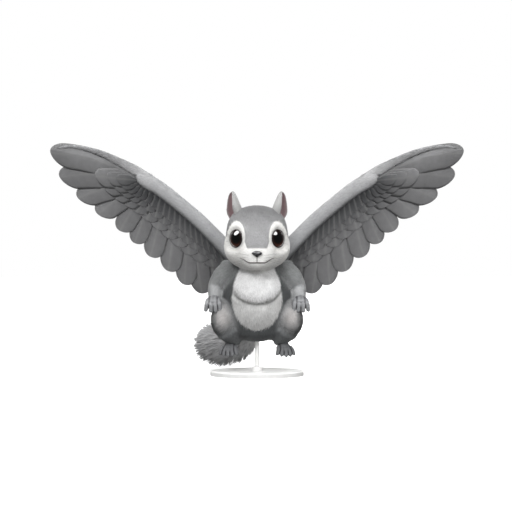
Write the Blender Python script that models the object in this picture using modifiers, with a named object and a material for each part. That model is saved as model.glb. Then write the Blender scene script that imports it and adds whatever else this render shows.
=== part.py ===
"""A grey squirrel with feathered wings, held upright in flight on a plain display stand.

Metres, +Z up.  The animal faces -Y, its left side is at +X, and the origin is the middle of the
stand's underside.  The tables below are in millimetres, and MM turns them into metres.
"""

import math

import bmesh
import bpy
import numpy as np
from mathutils import Matrix, Vector
from mathutils.bvhtree import BVHTree

MM = 0.001
GAP = 0.35  # clear space between two nodes that meet face to face
SEED = 7

# Driving sizes of the animal
CROWN_HEIGHT = 203.0
HEAD_HEIGHT = 79.0
HEAD_HALF_WIDTH = 35.5
CHEEK_SWELL = 7.5
CHEST_HALF_WIDTH = 35.0
HIP_HALF_WIDTH = 40.0
RUMP_HEIGHT = 41.0
WING_TIP = (254.0, 270.0)
EYE_RADIUS = 14.5
EYE_DISC_RADIUS = 11.0
EYE_SUNK = 1.0
EAR_FOOT = (21.6, -3.5, 191.0)
EAR_TIP = (29.6, 1.0, 221.0)
EAR_HALF_WIDTH = 12.4
TAIL_CORE_RADIUS = 12.0
TAIL_LOCK_LENGTH = 37.0

# Driving sizes of the stand
BASE_RADIUS = 56.0
BASE_THICKNESS = 6.0
ROD_RADIUS = 2.6
SOCKET_RADIUS = 6.0
SOCKET_HEIGHT = 5.0

HEAD_CENTRE = np.array([0.0, -6.0, CROWN_HEIGHT - HEAD_HEIGHT / 2])
HEAD_AXES = np.array([HEAD_HALF_WIDTH, 38.0, HEAD_HEIGHT / 2])

# Each swelling of the head: direction from its centre, height, spread sideways and upright
HEAD_SWELLINGS = (
    ((0.80, -0.42, -0.42), CHEEK_SWELL, 0.40, 0.36),
    ((-0.80, -0.42, -0.42), CHEEK_SWELL, 0.40, 0.36),
    ((0.72, 0.10, 0.66), 4.5, 0.42, 0.34),
    ((-0.72, 0.10, 0.66), 4.5, 0.42, 0.34),
    ((0.0, -0.93, -0.40), 9.0, 0.46, 0.34),
    ((0.0, -0.90, -0.43), 6.5, 0.26, 0.20),
    ((0.0, -0.97, -0.16), 2.6, 0.24, 0.15),
    ((0.0, -0.82, -0.58), 4.6, 0.30, 0.13),
    ((0.0, -0.72, -0.69), 2.6, 0.30, 0.16),
    ((0.60, -0.76, -0.02), -2.2, 0.22, 0.26),
    ((-0.60, -0.76, -0.02), -2.2, 0.22, 0.26),
    ((0.0, 0.75, -0.66), -3.0, 0.50, 0.45),
)

# Torso: height, depth offset, half width, half depth
TORSO = (
    (62.0, 5.0, HIP_HALF_WIDTH - 1.0, 35.0),
    (78.0, 3.0, HIP_HALF_WIDTH, 37.0),
    (96.0, 3.0, HIP_HALF_WIDTH + 2.0, 35.0),
    (112.0, 5.0, CHEST_HALF_WIDTH + 2.5, 31.0),
    (124.0, 7.0, CHEST_HALF_WIDTH - 5.0, 26.0),
)
TORSO_CAPS = (62.0 - RUMP_HEIGHT, 14.0)
BIB_CENTRE = (0.0, -9.0, 109.0)
BIB_AXES = (29.0, 25.0, 24.0)
BELLY_CENTRE = (0.0, -8.0, 80.0)
BELLY_AXES = (30.0, 29.0, 33.0)

# Tubes of flesh on the left side: x, y, z, radius sideways, radius the other way
NECK = ((0, 9, 116, 25, 23), (0, 6, 130, 26, 25), (0, 2, 146, 25, 25))
UPPER_ARM = ((32, 2, 126, 13, 14), (41, 4, 118, 13, 13), (48.5, 6, 106, 10.5, 11))
FOREARM = ((49, 5, 106, 10, 10.5), (50, -3, 97, 9, 9), (50.5, -13, 90, 7.6, 7))
PALM = ((50.6, -14, 92.5, 7.4, 6), (51.6, -19, 90, 9.6, 5.8), (51.8, -22.5, 87, 10, 5))
THIGH = ((26, 8, 72, 18, 24), (35, -4, 70, 18.5, 25), (41, -16, 65, 14.5, 21))
SHANK = ((35, -11, 56, 16, 15), (29, -4, 47, 13.5, 12), (30, 2, 40, 8.4, 8))
FOOT = ((30, 3, 41, 6.2, 6.6), (31.5, -4, 37, 6.8, 5.6), (33, -9.5, 32.5, 8.4, 4.4))

# Digits: sideways place of the root across the palm or sole, sideways spread of the tip, length
FINGERS = ((-6.6, -8.2, 7.0), (-2.2, -3.0, 8.6), (2.4, 2.6, 8.6), (6.8, 8.6, 7.0))
TOES = ((-7.2, -9.8, 6.0), (-3.6, -5.0, 8.2), (0.2, 0.2, 9.2), (3.8, 5.2, 8.4), (7.2, 10.0, 6.4))
FINGER_RADIUS = 2.75
TOE_RADIUS = 2.6
CLAW_LENGTH = 4.0
FINGER_DROOP = 3.5
TOE_DROOP = 2.0

# Tail core: x, y, z, radius
TAIL = (
    (0, 26, 56, 0.72),
    (-4, 40, 49, 0.84),
    (-15, 56, 40, 0.95),
    (-31, 72, 36, 1.0),
    (-45, 89, 35.5, 1.0),
    (-51, 106, 36, 0.8),
    (-53, 122, 37, 0.4),
)
TAIL_WHORLS = 6
LOCKS_PER_WHORL = 6
LOCK_WIDTH = 21.0

# Wing arm: x, y, z, radius in the wing's plane, radius through it
WING_ARM = (
    (17, 30, 132, 10.5, 8),
    (46, 36, 161, 9.6, 8),
    (70, 35.5, 185, 9.4, 7.6),
    (95, 33, 206.5, 9.2, 7.2),
    (118, 29, 224.5, 9.4, 7),
    (136, 26, 235, 9.6, 6.6),
)
WING_HAND = (
    (130, 27, 232, 7.6, 6),
    (152, 28, 243.5, 6.2, 5),
    (178, 30.5, 254, 4.2, 3.6),
    (202, 35, 262, 2.6, 2.4),
)
# Leading edge of the wing sheet, from shoulder to tip: x, depth y, height z
WING_EDGE = (
    (10, 30, 128), (46, 36, 163), (95, 33, 208), (136, 26, 234.5),
    (178, 30.5, 254), (206, 36, 264), (252, 49, 274),
)
SHEET_SLOPE = 0.30
SHEET_HOLLOW = 0.0017
VANE_TILT = -0.085
VANE_THICKNESS = 0.7

# Flight feathers, outermost first: root x, root z, tip x, tip z, width, sideways bow
FLIGHT = (
    (146, 240, WING_TIP[0], WING_TIP[1], 31, 6),
    (146, 234, 243, 240, 31, 6),
    (143, 230, 220, 214, 30, 5),
    (138, 227, 195, 194, 30, 4),
    (132, 225, 168, 174, 27, 2),
    (124, 221, 150, 159, 25, 1),
    (114, 213, 131, 142.5, 27, -1),
    (102, 203, 109.5, 125, 28, -2),
    (89, 192, 89.5, 108, 27, -2),
    (76, 180, 67.5, 97, 27, -2),
    (62, 167, 47, 95, 26, -1),
    (48, 154, 29.5, 100, 25, 0),
)
# Rows of coverts: depth offset, share of the flight feather's length, width factor
COVERTS = (
    (-2.3, 0.46, 0.92),
    (2.3, 0.52, 0.92),
)

COLOURS = {
    "coat_grey": (0.24, 0.24, 0.25),
    "ear_skin": (0.33, 0.22, 0.21),
    "eye": (0.02, 0.012, 0.01),
    "nose_skin": (0.05, 0.05, 0.052),
    "feather": (0.20, 0.20, 0.21),
    "paw_skin": (0.22, 0.21, 0.22),
    "stand": (0.82, 0.82, 0.80),
}
ROUGHNESS = {"eye": 0.06, "nose_skin": 0.4, "stand": 0.45}


def clear_scene():
    for old in list(bpy.data.objects):
        bpy.data.objects.remove(old)


def new_collection(name):
    made = bpy.data.collections.new(name)
    bpy.context.scene.collection.children.link(made)
    return made


def finish_of(name):
    """The material of that name, made on first use."""
    found = bpy.data.materials.get(name)
    if found:
        return found
    made = bpy.data.materials.new(name)
    made.use_nodes = True
    shader = made.node_tree.nodes["Principled BSDF"]
    shader.inputs["Base Color"].default_value = (*COLOURS[name], 1.0)
    shader.inputs["Roughness"].default_value = ROUGHNESS.get(name, 0.85)
    shader.inputs["Metallic"].default_value = 0.0
    return made


def object_of(name, mesh, finish, collection):
    mesh.name = name
    mesh.materials.clear()
    mesh.materials.append(finish_of(finish))
    made = bpy.data.objects.new(name, mesh)
    collection.objects.link(made)
    return made


def mesh_of(points, faces):
    """A mesh from points in millimetres, with doubles merged and its faces turned outwards."""
    mesh = bpy.data.meshes.new("form")
    mesh.from_pydata((np.asarray(points, float) * MM).tolist(), [], faces)
    work = bmesh.new()
    work.from_mesh(mesh)
    bmesh.ops.remove_doubles(work, verts=work.verts, dist=1e-7)
    bmesh.ops.recalc_face_normals(work, faces=work.faces)
    work.to_mesh(mesh)
    work.free()
    return mesh


def through(rows, count):
    """Catmull-Rom curve through the rows, sampled evenly at count places."""
    rows = np.asarray(rows, float)
    padded = np.vstack([2 * rows[0] - rows[1], rows, 2 * rows[-1] - rows[-2]])
    place = np.linspace(0, len(rows) - 1, count)
    first = np.minimum(place.astype(int), len(rows) - 2)
    u = (place - first)[:, None]
    a, b, c, d = (padded[first + k] for k in range(4))
    return 0.5 * (
        2 * b + (c - a) * u + (2 * a - 5 * b + 4 * c - d) * u**2 + (3 * b - a - 3 * c + d) * u**3
    )


def unit(vectors):
    return vectors / np.linalg.norm(vectors, axis=-1, keepdims=True)


def tube_rings(rows, sides, steps, caps, reference, cap_steps=3):
    """Rings of a tube of oval section along the rows, closed by rounded caps of the given heights."""
    line = through(rows, steps)
    centre, radii = line[:, :3], line[:, 3:5]
    ahead = unit(np.gradient(centre, axis=0))
    across = unit(np.cross(ahead, np.asarray(reference, float)))
    other = np.cross(across, ahead)
    turn = np.linspace(0, 2 * math.pi, sides, endpoint=False)
    rings = []
    for k in range(-cap_steps, steps + cap_steps):
        at = min(max(k, 0), steps - 1)
        beyond = (-k if k < 0 else max(0, k - steps + 1)) / cap_steps * math.pi / 2
        sign, height = (-1, caps[0]) if k < 0 else (1, caps[1])
        middle = centre[at] + ahead[at] * sign * height * math.sin(beyond)
        shrink = max(math.cos(beyond), 0.0)
        rings.append(
            middle
            + shrink * radii[at, 0] * np.cos(turn)[:, None] * across[at]
            + shrink * radii[at, 1] * np.sin(turn)[:, None] * other[at]
        )
    return np.array(rings)


def mesh_of_rings(rings):
    """Closed skin over rings whose first and last ones have shrunk to a point."""
    count, sides, _ = rings.shape
    index = np.arange(count * sides).reshape(count, sides)
    faces = []
    for i in range(count - 1):
        for j in range(sides):
            k = (j + 1) % sides
            if i == 0:
                faces.append((index[0, 0], index[1, j], index[1, k]))
            elif i == count - 2:
                faces.append((index[i, j], index[i + 1, 0], index[i, k]))
            else:
                faces.append((index[i, j], index[i + 1, j], index[i + 1, k], index[i, k]))
    points = rings.reshape(-1, 3).copy()
    used = sorted({int(v) for face in faces for v in face})
    place = {v: n for n, v in enumerate(used)}
    return mesh_of(points[used], [tuple(place[int(v)] for v in face) for face in faces])


def tube(rows, side=1, sides=12, steps=5, caps=(8.0, 8.0), reference=(0, 0, 1), cap_steps=2):
    """Tube of flesh through the rows, on the left side, or mirrored to the right where side is -1."""
    rings = tube_rings(rows, sides, steps, caps, reference, cap_steps)
    rings[..., 0] *= side
    return mesh_of_rings(rings)


def ellipsoid(centre, axes, segments=20, rings=12):
    """Sphere primitive, stretched to the given half axes."""
    work = bmesh.new()
    bmesh.ops.create_uvsphere(work, u_segments=segments, v_segments=rings, radius=1.0)
    place = Matrix.Translation(Vector(centre) * MM) @ Matrix.Diagonal((*(Vector(axes) * MM), 1.0))
    bmesh.ops.transform(work, matrix=place, verts=work.verts)
    mesh = bpy.data.meshes.new("form")
    work.to_mesh(mesh)
    work.free()
    return mesh


def cylinder(centre, radius, height, bevel=0.0, sides=32):
    """Upright cylinder whose bottom centre is given, with its top edge rounded."""
    work = bmesh.new()
    bmesh.ops.create_cone(
        work, cap_ends=True, segments=sides, radius1=radius * MM, radius2=radius * MM, depth=height * MM
    )
    lift = Vector(centre) * MM + Vector((0, 0, height * MM / 2))
    bmesh.ops.translate(work, verts=work.verts, vec=lift)
    if bevel:
        top = max(v.co.z for v in work.verts)
        rim = [e for e in work.edges if all(abs(v.co.z - top) < 1e-6 for v in e.verts)]
        bmesh.ops.bevel(work, geom=rim, offset=bevel * MM, segments=1, affect="EDGES")
    mesh = bpy.data.meshes.new("form")
    work.to_mesh(mesh)
    work.free()
    return mesh


def evaluated_mesh(obj):
    graph = bpy.context.evaluated_depsgraph_get()
    return bpy.data.meshes.new_from_object(obj.evaluated_get(graph))


def apply_modifiers(obj):
    bpy.context.view_layer.update()
    made = evaluated_mesh(obj)
    obj.modifiers.clear()
    obj.data = made


def keep_largest(obj):
    """Drops all but the largest closed surface, which fills a sealed hollow and drops loose scraps."""
    work = bmesh.new()
    work.from_mesh(obj.data)
    bmesh.ops.triangulate(work, faces=work.faces)
    left, groups = set(work.faces), []
    while left:
        stack, group = [left.pop()], []
        while stack:
            face = stack.pop()
            group.append(face)
            for edge in face.edges:
                for near in edge.link_faces:
                    if near in left:
                        left.remove(near)
                        stack.append(near)
        groups.append(group)
    groups.sort(key=lambda group: sum(face.calc_area() for face in group))
    loose = [face for group in groups[:-1] for face in group]
    if loose:
        bmesh.ops.delete(work, geom=loose, context="FACES")
    work.to_mesh(obj.data)
    work.free()


def unite(obj, meshes, finish):
    """Fuses the meshes into the object with one Boolean union on a collection, and applies it.

    EXACT drops most of a paw or a wing where many thin pieces cross, so MANIFOLD joins them.
    """
    pieces = new_collection(obj.name + "_pieces")
    made = [object_of(f"{obj.name}_piece", mesh, finish, pieces) for mesh in meshes]
    union = obj.modifiers.new("union", "BOOLEAN")
    union.operation = "UNION"
    union.operand_type = "COLLECTION"
    union.collection = pieces
    union.solver = "MANIFOLD"
    apply_modifiers(obj)
    for piece in made:
        bpy.data.objects.remove(piece)
    bpy.data.collections.remove(pieces)
    keep_largest(obj)


def grown(source, amount=GAP):
    """Copy of a mesh, pushed outwards along its normals by amount in millimetres."""
    work = bmesh.new()
    work.from_mesh(source)
    bmesh.ops.triangulate(work, faces=work.faces)
    work.normal_update()
    shift = [v.normal * amount * MM for v in work.verts]
    for vertex, move in zip(work.verts, shift):
        vertex.co += move
    mesh = bpy.data.meshes.new("grown")
    work.to_mesh(mesh)
    work.free()
    return mesh


def carve(obj, cutters):
    """Cuts each cutter mesh out of the object, by the same solver as the unions."""
    helpers = bpy.data.collections["cutters"]
    for mesh in cutters:
        cutter = object_of("cutter", mesh, "stand", helpers)
        cutter.hide_render = True
        cutter.display_type = "WIRE"
        cut = obj.modifiers.new("cut", "BOOLEAN")
        cut.operation = "DIFFERENCE"
        cut.object = cutter
        cut.solver = "MANIFOLD"
        apply_modifiers(obj)
        bpy.data.objects.remove(cutter)
    keep_largest(obj)


def smooth(obj, angle=50):
    obj.data.shade_smooth()
    obj.data.set_sharp_from_angle(angle=math.radians(angle))


# Head

def head_radius(directions):
    """Distance from the head's centre to its surface, along each unit direction."""
    radius = 1 / np.sqrt(((directions / HEAD_AXES) ** 2).sum(-1))
    for place, height, sideways, upright in HEAD_SWELLINGS:
        away = directions - unit(np.array(place))
        spread = np.array([sideways, sideways, upright])
        radius = radius + height * np.exp(-0.5 * ((away / spread) ** 2).sum(-1))
    return radius


def head_point(direction):
    direction = unit(np.asarray(direction, float))
    return HEAD_CENTRE + direction * head_radius(direction[None])[0]


def head_mesh(segments=24, rings=17):
    """Sphere primitive whose points are moved out to the head's surface."""
    mesh = ellipsoid((0, 0, 0), (1, 1, 1), segments, rings)
    points = np.empty(len(mesh.vertices) * 3)
    mesh.vertices.foreach_get("co", points)
    ways = unit(points.reshape(-1, 3))
    moved = (HEAD_CENTRE + ways * head_radius(ways)[:, None]) * MM
    mesh.vertices.foreach_set("co", moved.ravel())
    mesh.update()
    return mesh


def eye_place(side):
    """Centre and outward direction of an eyeball."""
    out = unit(np.array([0.72 * side, -0.69, 0.02]))
    sunk = math.sqrt(EYE_RADIUS**2 - EYE_DISC_RADIUS**2)
    rim = head_point((0.66 * side, -0.75, 0.01)) - out * EYE_SUNK
    return rim - out * sunk, out, rim


def lid(side):
    """Ring of the eyelids: a torus primitive set round the eye."""
    _, out, rim = eye_place(side)
    bpy.ops.mesh.primitive_torus_add(
        major_radius=(EYE_DISC_RADIUS + 1.6) * MM,
        minor_radius=2.4 * MM,
        major_segments=16,
        minor_segments=4,
    )
    ring = bpy.context.object
    turn = Vector(out).to_track_quat("Z", "Y").to_matrix().to_4x4()
    mesh = ring.data
    mesh.transform(Matrix.Translation(Vector(rim - out * 1.4) * MM) @ turn)
    bpy.data.objects.remove(ring)
    return mesh


def on_head(tree, x, z):
    """Point of the head's front seen at x and z, in millimetres."""
    hit, *_ = tree.ray_cast(Vector((x, -200, z)) * MM, Vector((0, 1, 0)))
    return np.array(hit) / MM


def mouth_groove(tree):
    """The line of the mouth with the split of the upper lip, as thin tubes to be cut out."""
    across = np.linspace(-18.5, 18.5, 13)
    height = 135.2 + 5.2 * (np.abs(across) / 18.5) ** 1.8
    rows = [(*on_head(tree, x, z), 0.75, 0.75) for x, z in zip(across, height)]
    split = [(*on_head(tree, 0, z), 0.6, 0.6) for z in (142.5, 140.0, 137.5, 135.0)]
    return [
        tube(rows, sides=5, steps=12, caps=(0.6, 0.6), reference=(0, 1, 0), cap_steps=1),
        tube(split, sides=5, steps=4, caps=(0.4, 0.4), reference=(0, 1, 0), cap_steps=1),
    ]


def nose_mesh():
    """Nose pad: a sphere drawn to a rounded triangle, wide above and narrow below."""
    tip = head_point((0, -0.945, -0.325))
    mesh = ellipsoid((0, 0, 0), (1, 1, 1), 11, 7)
    points = np.empty(len(mesh.vertices) * 3)
    mesh.vertices.foreach_get("co", points)
    p = unit(points.reshape(-1, 3))
    width = 7.2 * (0.62 + 0.38 * np.clip(p[:, 2] + 0.6, 0, 1.2) / 1.2)
    placed = np.column_stack([p[:, 0] * width, p[:, 1] * 3.6, p[:, 2] * 3.9]) + tip + (0, 0.4, 0)
    mesh.vertices.foreach_set("co", (placed * MM).ravel())
    mesh.update()
    return mesh, tip


def nostrils(tip):
    return [
        ellipsoid(tip + np.array([2.9 * side, -2.9, -0.6]), (1.35, 1.5, 0.9), 7, 5) for side in (1, -1)
    ]


# Ears

def ear_object(side, collection):
    """A cupped leaf: an open surface, curled about its own axis, thickened with Solidify."""
    foot = np.array(EAR_FOOT)
    axis = np.array(EAR_TIP) - foot
    facing = unit(np.array([0.66, -0.75, 0.0]))
    across = unit(np.cross(axis, facing))
    up_steps, round_steps = 8, 6
    t = np.linspace(-0.3, 1, up_steps)[:, None]
    s = np.linspace(-1, 1, round_steps + 1)[None, :]
    half = EAR_HALF_WIDTH * np.clip(1 - np.clip(t, 0, 1) ** 1.7, 0, 1) ** 0.75 + 0.3
    half = half * (1 + 0.8 * np.clip(t, -0.3, 0))
    curl = np.radians(92 - 44 * np.clip(t, 0, 1))
    turn = s * curl
    bend = half / np.sin(np.minimum(curl, math.pi / 2))
    sideways = bend * np.sin(turn)
    hollow = bend * (np.cos(turn) - 1)
    points = (
        foot
        + t[..., None] * axis
        + sideways[..., None] * across
        - (hollow + 0.35 * half)[..., None] * facing
    )
    points[..., 0] *= side
    rows, columns = points.shape[:2]
    index = np.arange(rows * columns).reshape(rows, columns)
    faces = [
        (index[i, j], index[i, j + 1], index[i + 1, j + 1], index[i + 1, j])
        for i in range(rows - 1)
        for j in range(columns - 1)
    ]
    mesh = bpy.data.meshes.new("ear")
    mesh.from_pydata((points.reshape(-1, 3) * MM).tolist(), [], faces)
    ear = object_of("ear_left" if side > 0 else "ear_right", mesh, "ear_skin", collection)
    wall = ear.modifiers.new("wall", "SOLIDIFY")
    wall.thickness = 1.5 * MM
    wall.offset = 0.0
    apply_modifiers(ear)
    return ear


# Paws

def digit_meshes(rows_end, ahead, across, digits, radius, droop, side):
    """Fingers or toes fanned from the end of a palm or sole, each with its curved claw."""
    made = []
    down = np.cross(across, ahead)
    down = down if down[2] < 0 else -down
    for root_shift, tip_shift, length in digits:
        root = rows_end + across * root_shift - ahead * 2.0
        knuckle = root + ahead * (2.0 + length * 0.5) + across * (tip_shift - root_shift) * 0.5
        tip = root + ahead * (2.0 + length) + across * (tip_shift - root_shift) + down * droop
        rows = [(*root, radius, radius), (*knuckle, radius, radius), (*tip, radius * 0.84, radius * 0.84)]
        made.append(tube(rows, side, sides=5, steps=3, caps=(radius, radius * 0.9), cap_steps=1))
        hook = tip + unit(tip - knuckle) * CLAW_LENGTH * 0.55
        point = tip + unit(tip - knuckle) * CLAW_LENGTH + down * CLAW_LENGTH * 0.45
        claw = [(*tip, 1.15, 1.15), (*hook, 0.95, 0.95), (*point, 0.32, 0.32)]
        made.append(tube(claw, side, sides=4, steps=2, caps=(0.6, 0.25), cap_steps=1))
    return made


def paw(name, rows, digits, radius, droop, side, collection):
    """Palm or sole with its digits fused to it."""
    palm = tube(rows, side, sides=10, steps=4, caps=(5.0, 3.0), reference=(0, 0, 1))
    made = object_of(name, palm, "paw_skin", collection)
    end = np.array(rows[-1][:3], float)
    ahead = unit(end - np.array(rows[-2][:3], float))
    across = unit(np.cross(ahead, np.array([0.0, 0.0, 1.0])))
    across = across if across[0] > 0 else -across
    unite(made, digit_meshes(end, ahead, across, digits, radius, droop, side), "paw_skin")
    return made


# Wings

def sheet_depth(x, z):
    """Depth y of the wing's middle surface: it falls back from the leading edge and flattens."""
    edge = np.array(WING_EDGE, float)
    lead_y = np.interp(x, edge[:, 0], edge[:, 1])
    below = np.clip(np.interp(x, edge[:, 0], edge[:, 2]) - z, 0, 85)
    return lead_y + SHEET_SLOPE * below - SHEET_HOLLOW * below**2


def vane_mesh(root, tip, width, bow, offset, side, steps=(0, 0.4, 0.8, 0.94, 1.0)):
    """One feather vane: a bowed blade, rounded at its end, laid on the wing's sheet."""
    root, tip = np.array(root, float), np.array(tip, float)
    chord = tip - root
    normal = unit(np.array([-chord[1], chord[0]]))
    normal = normal if normal[1] > 0 else -normal
    middle = (root + tip) / 2 + normal * bow * 2
    t = np.array(steps)[:, None]
    line = (1 - t) ** 2 * root + 2 * t * (1 - t) * middle + t**2 * tip
    along = unit(2 * (1 - t) * (middle - root) + 2 * t * (tip - middle))
    inward = np.column_stack([along[:, 1], -along[:, 0]])
    inward = inward * np.where((inward * (-1, -1)).sum(-1, keepdims=True) < 0, -1, 1)
    opening = np.clip(t / 0.5, 0, 1)
    rounding = np.sqrt(np.clip(1 - (np.clip(t - 0.8, 0, 1) / 0.203) ** 2, 0.0, 1))
    half = width / 2 * (0.55 + 0.45 * opening * opening * (3 - 2 * opening)) * rounding
    half = np.maximum(half, 0.5)
    rings = []
    for share, lift in ((-1, 0.5), (1, 0.5), (1, -0.5), (-1, -0.5)):
        flat = line + inward * half * share
        depth = sheet_depth(flat[:, 0], flat[:, 1]) + VANE_TILT * half[:, 0] * share + offset
        rings.append(np.column_stack([flat[:, 0], depth - lift * VANE_THICKNESS, flat[:, 1]]))
    rings = np.array(rings).transpose(1, 0, 2)
    rings[..., 0] *= side
    count = len(rings)
    index = np.arange(count * 4).reshape(count, 4)
    faces = [tuple(index[0, [0, 1, 2, 3]]), tuple(index[-1, [3, 2, 1, 0]])]
    for near, far in zip(index[:-1], index[1:]):
        faces += [(near[0], far[1], near[1]), (near[0], far[0], far[1])]
        faces += [(near[3], near[2], far[2]), (near[3], far[2], far[3])]
        faces += [(near[1], far[1], far[2], near[2]), (near[3], far[3], far[0], near[0])]
    return mesh_of(rings.reshape(-1, 3), [tuple(int(v) for v in face) for face in faces])


def wing(side, collection):
    """Wing arm and hand with flight feathers and rows of coverts, fused at their roots."""
    arm = tube(WING_ARM, side, sides=9, steps=8, caps=(8, 6), reference=(0, 1, 0))
    made = object_of("wing_left" if side > 0 else "wing_right", arm, "feather", collection)
    hand = tube(WING_HAND, side, sides=6, steps=4, caps=(6, 2), reference=(0, 1, 0))
    vanes = [hand]
    for root_x, root_z, tip_x, tip_z, width, bow in FLIGHT:
        vanes.append(vane_mesh((root_x, root_z), (tip_x, tip_z), width, bow, 0.0, side))
    covert_steps = (0, 0.8, 1.0)
    for offset, share, broad in COVERTS:
        for n, (root_x, root_z, tip_x, tip_z, width, bow) in enumerate(FLIGHT):
            reach = share * (0.86 if n == 0 else 1.0)
            root = np.array([root_x, root_z], float)
            tip = root + (np.array([tip_x, tip_z]) - root) * reach
            vanes.append(
                vane_mesh(root, tip, width * broad, bow * reach * reach, offset, side, covert_steps)
            )
    unite(made, vanes, "feather")
    return made


# Tail

def lock_mesh(root, way, lean, length, width, side_way):
    """One flat, tapered lock of long hair that bends towards the tail's tip."""
    over = unit(np.cross(side_way, way))
    rings = []
    for t, share in ((0.0, 0.8), (0.62, 1.0), (1.0, 0.42)):
        middle = root + way * length * t * (1 - 0.20 * t) + lean * length * 0.38 * t * t
        half = width / 2 * share
        thick = 2.4 - 1.5 * t
        rings.append([middle + side_way * half, middle + over * thick, middle - side_way * half])
    rings = np.array(rings).reshape(-1, 3)
    faces = [(0, 1, 2), (8, 7, 6)]
    for i in (0, 3):
        faces += [(i + j, i + 3 + j, i + 3 + (j + 1) % 3, i + (j + 1) % 3) for j in range(3)]
    return mesh_of(rings, faces)


def tail(collection):
    """Core of the tail with whorls of locks, longest round the middle of the brush."""
    random = np.random.default_rng(SEED)
    rows = [(x, y, z, TAIL_CORE_RADIUS * r, TAIL_CORE_RADIUS * r) for x, y, z, r in TAIL]
    core = tube(rows, sides=9, steps=9, caps=(6, 4))
    made = object_of("tail", core, "coat_grey", collection)
    line = through(rows, 80)
    ahead = unit(np.gradient(line[:, :3], axis=0))
    across = unit(np.cross(ahead, np.array([0.0, 0.0, 1.0])))
    other = np.cross(across, ahead)
    locks = []
    for whorl in range(TAIL_WHORLS):
        share = whorl / (TAIL_WHORLS - 1)
        at = int(79 * (0.13 + 0.81 * share))
        fullness = 0.66 + 0.34 * math.sin(math.pi * min(1.0, 0.12 + share * 0.88))
        for n in range(LOCKS_PER_WHORL):
            angle = 2 * math.pi * (n + 0.5 * (whorl % 2)) / LOCKS_PER_WHORL + random.uniform(-0.12, 0.12)
            out = math.cos(angle) * across[at] + math.sin(angle) * other[at]
            around = np.cross(ahead[at], out)
            slant = math.radians(58 - 28 * share)
            way = out * math.sin(slant) + ahead[at] * math.cos(slant)
            root = line[at, :3] + out * line[at, 3] * 0.35
            length = TAIL_LOCK_LENGTH * fullness * random.uniform(0.93, 1.05)
            width = LOCK_WIDTH * random.uniform(0.92, 1.08)
            locks.append(lock_mesh(root, way, ahead[at], length, width, around))
    unite(made, locks, "coat_grey")
    return made


# Stand

def stand(collection):
    """Round plate with a socket, and the rod in it; returns the rod."""
    base = cylinder((0, 0, 0), BASE_RADIUS, BASE_THICKNESS, bevel=1.5)
    socket = cylinder((0, 0, BASE_THICKNESS - 2), SOCKET_RADIUS, SOCKET_HEIGHT + 2, bevel=1.2, sides=24)
    plate = object_of("stand_base", base, "stand", collection)
    unite(plate, [socket], "stand")
    foot = BASE_THICKNESS + SOCKET_HEIGHT - 3
    bore = cylinder((0, 0, foot - GAP), ROD_RADIUS + GAP, 10, sides=24)
    carve(plate, [bore])
    rod = cylinder((0, 0, foot), ROD_RADIUS, RUMP_HEIGHT + 12 - foot, sides=24)
    return object_of("stand_rod", rod, "stand", collection)


def torso_and_neck(animal):
    """Torso with its bib and belly, and the neck; returns their whole meshes too."""
    rows = [(0, y, z, half, deep) for z, y, half, deep in TORSO]
    form = tube(rows, sides=20, steps=6, caps=TORSO_CAPS, reference=(0, 1, 0), cap_steps=3)
    torso = object_of("torso", form, "coat_grey", animal)
    unite(
        torso,
        [ellipsoid(BIB_CENTRE, BIB_AXES, 16, 10), ellipsoid(BELLY_CENTRE, BELLY_AXES, 16, 10)],
        "coat_grey",
    )
    whole_torso = torso.data.copy()
    whole_neck = tube(NECK, sides=20, steps=5, caps=(4, 4), reference=(0, 1, 0))
    neck = object_of("neck", whole_neck.copy(), "coat_grey", animal)
    return torso, whole_torso, neck, whole_neck


def head_and_face(animal):
    """Head with lids, mouth and seats for the eyes and nose; returns its whole mesh too."""
    whole_head = head_mesh()
    seen = bmesh.new()
    seen.from_mesh(whole_head)
    tree = BVHTree.FromBMesh(seen)
    seen.free()
    eyes = {}
    for side, name in ((1, "eye_left"), (-1, "eye_right")):
        centre, _, _ = eye_place(side)
        eyes[side] = ellipsoid(centre, (EYE_RADIUS,) * 3, 14, 9)
        object_of(name, eyes[side], "eye", animal)
    nose_form, tip = nose_mesh()
    nose = object_of("nose", nose_form.copy(), "nose_skin", animal)
    carve(nose, nostrils(tip))
    head = object_of("head", whole_head.copy(), "coat_grey", animal)
    unite(head, [lid(1), lid(-1)], "coat_grey")
    carve(head, mouth_groove(tree))
    carve(head, [grown(eyes[1]), grown(eyes[-1]), grown(nose_form)])
    return whole_head


def limbs(side, word, fixed, animal):
    """Ear, arm, hand, leg, foot and wing of one side, each cut clear of what it meets."""
    whole_torso, whole_head, _ = fixed
    whole_upper = tube(UPPER_ARM, side, caps=(10, 8))
    whole_fore = tube(FOREARM, side, caps=(8, 6))
    whole_thigh = tube(THIGH, side, sides=18, caps=(14, 12))
    whole_shank = tube(SHANK, side, caps=(9, 7))
    flesh = (
        ("upper_arm", whole_upper, fixed),
        ("forearm", whole_fore, (whole_upper, whole_torso)),
        ("thigh", whole_thigh, (whole_torso, whole_fore)),
        ("shank", whole_shank, (whole_thigh, whole_torso)),
    )
    for name, whole, near in flesh:
        made = object_of(f"{name}_{word}", whole.copy(), "coat_grey", animal)
        carve(made, [grown(mesh) for mesh in near])
    carve(ear_object(side, animal), [grown(whole_head)])
    hand = paw(f"hand_{word}", PALM, FINGERS, FINGER_RADIUS, FINGER_DROOP, side, animal)
    carve(hand, [grown(mesh) for mesh in (whole_fore, whole_thigh, whole_torso)])
    foot = paw(f"foot_{word}", FOOT, TOES, TOE_RADIUS, TOE_DROOP, side, animal)
    carve(foot, [grown(mesh) for mesh in (whole_shank, whole_thigh, whole_torso)])
    carve(wing(side, animal), [grown(mesh) for mesh in (*fixed, whole_upper)])


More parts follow.
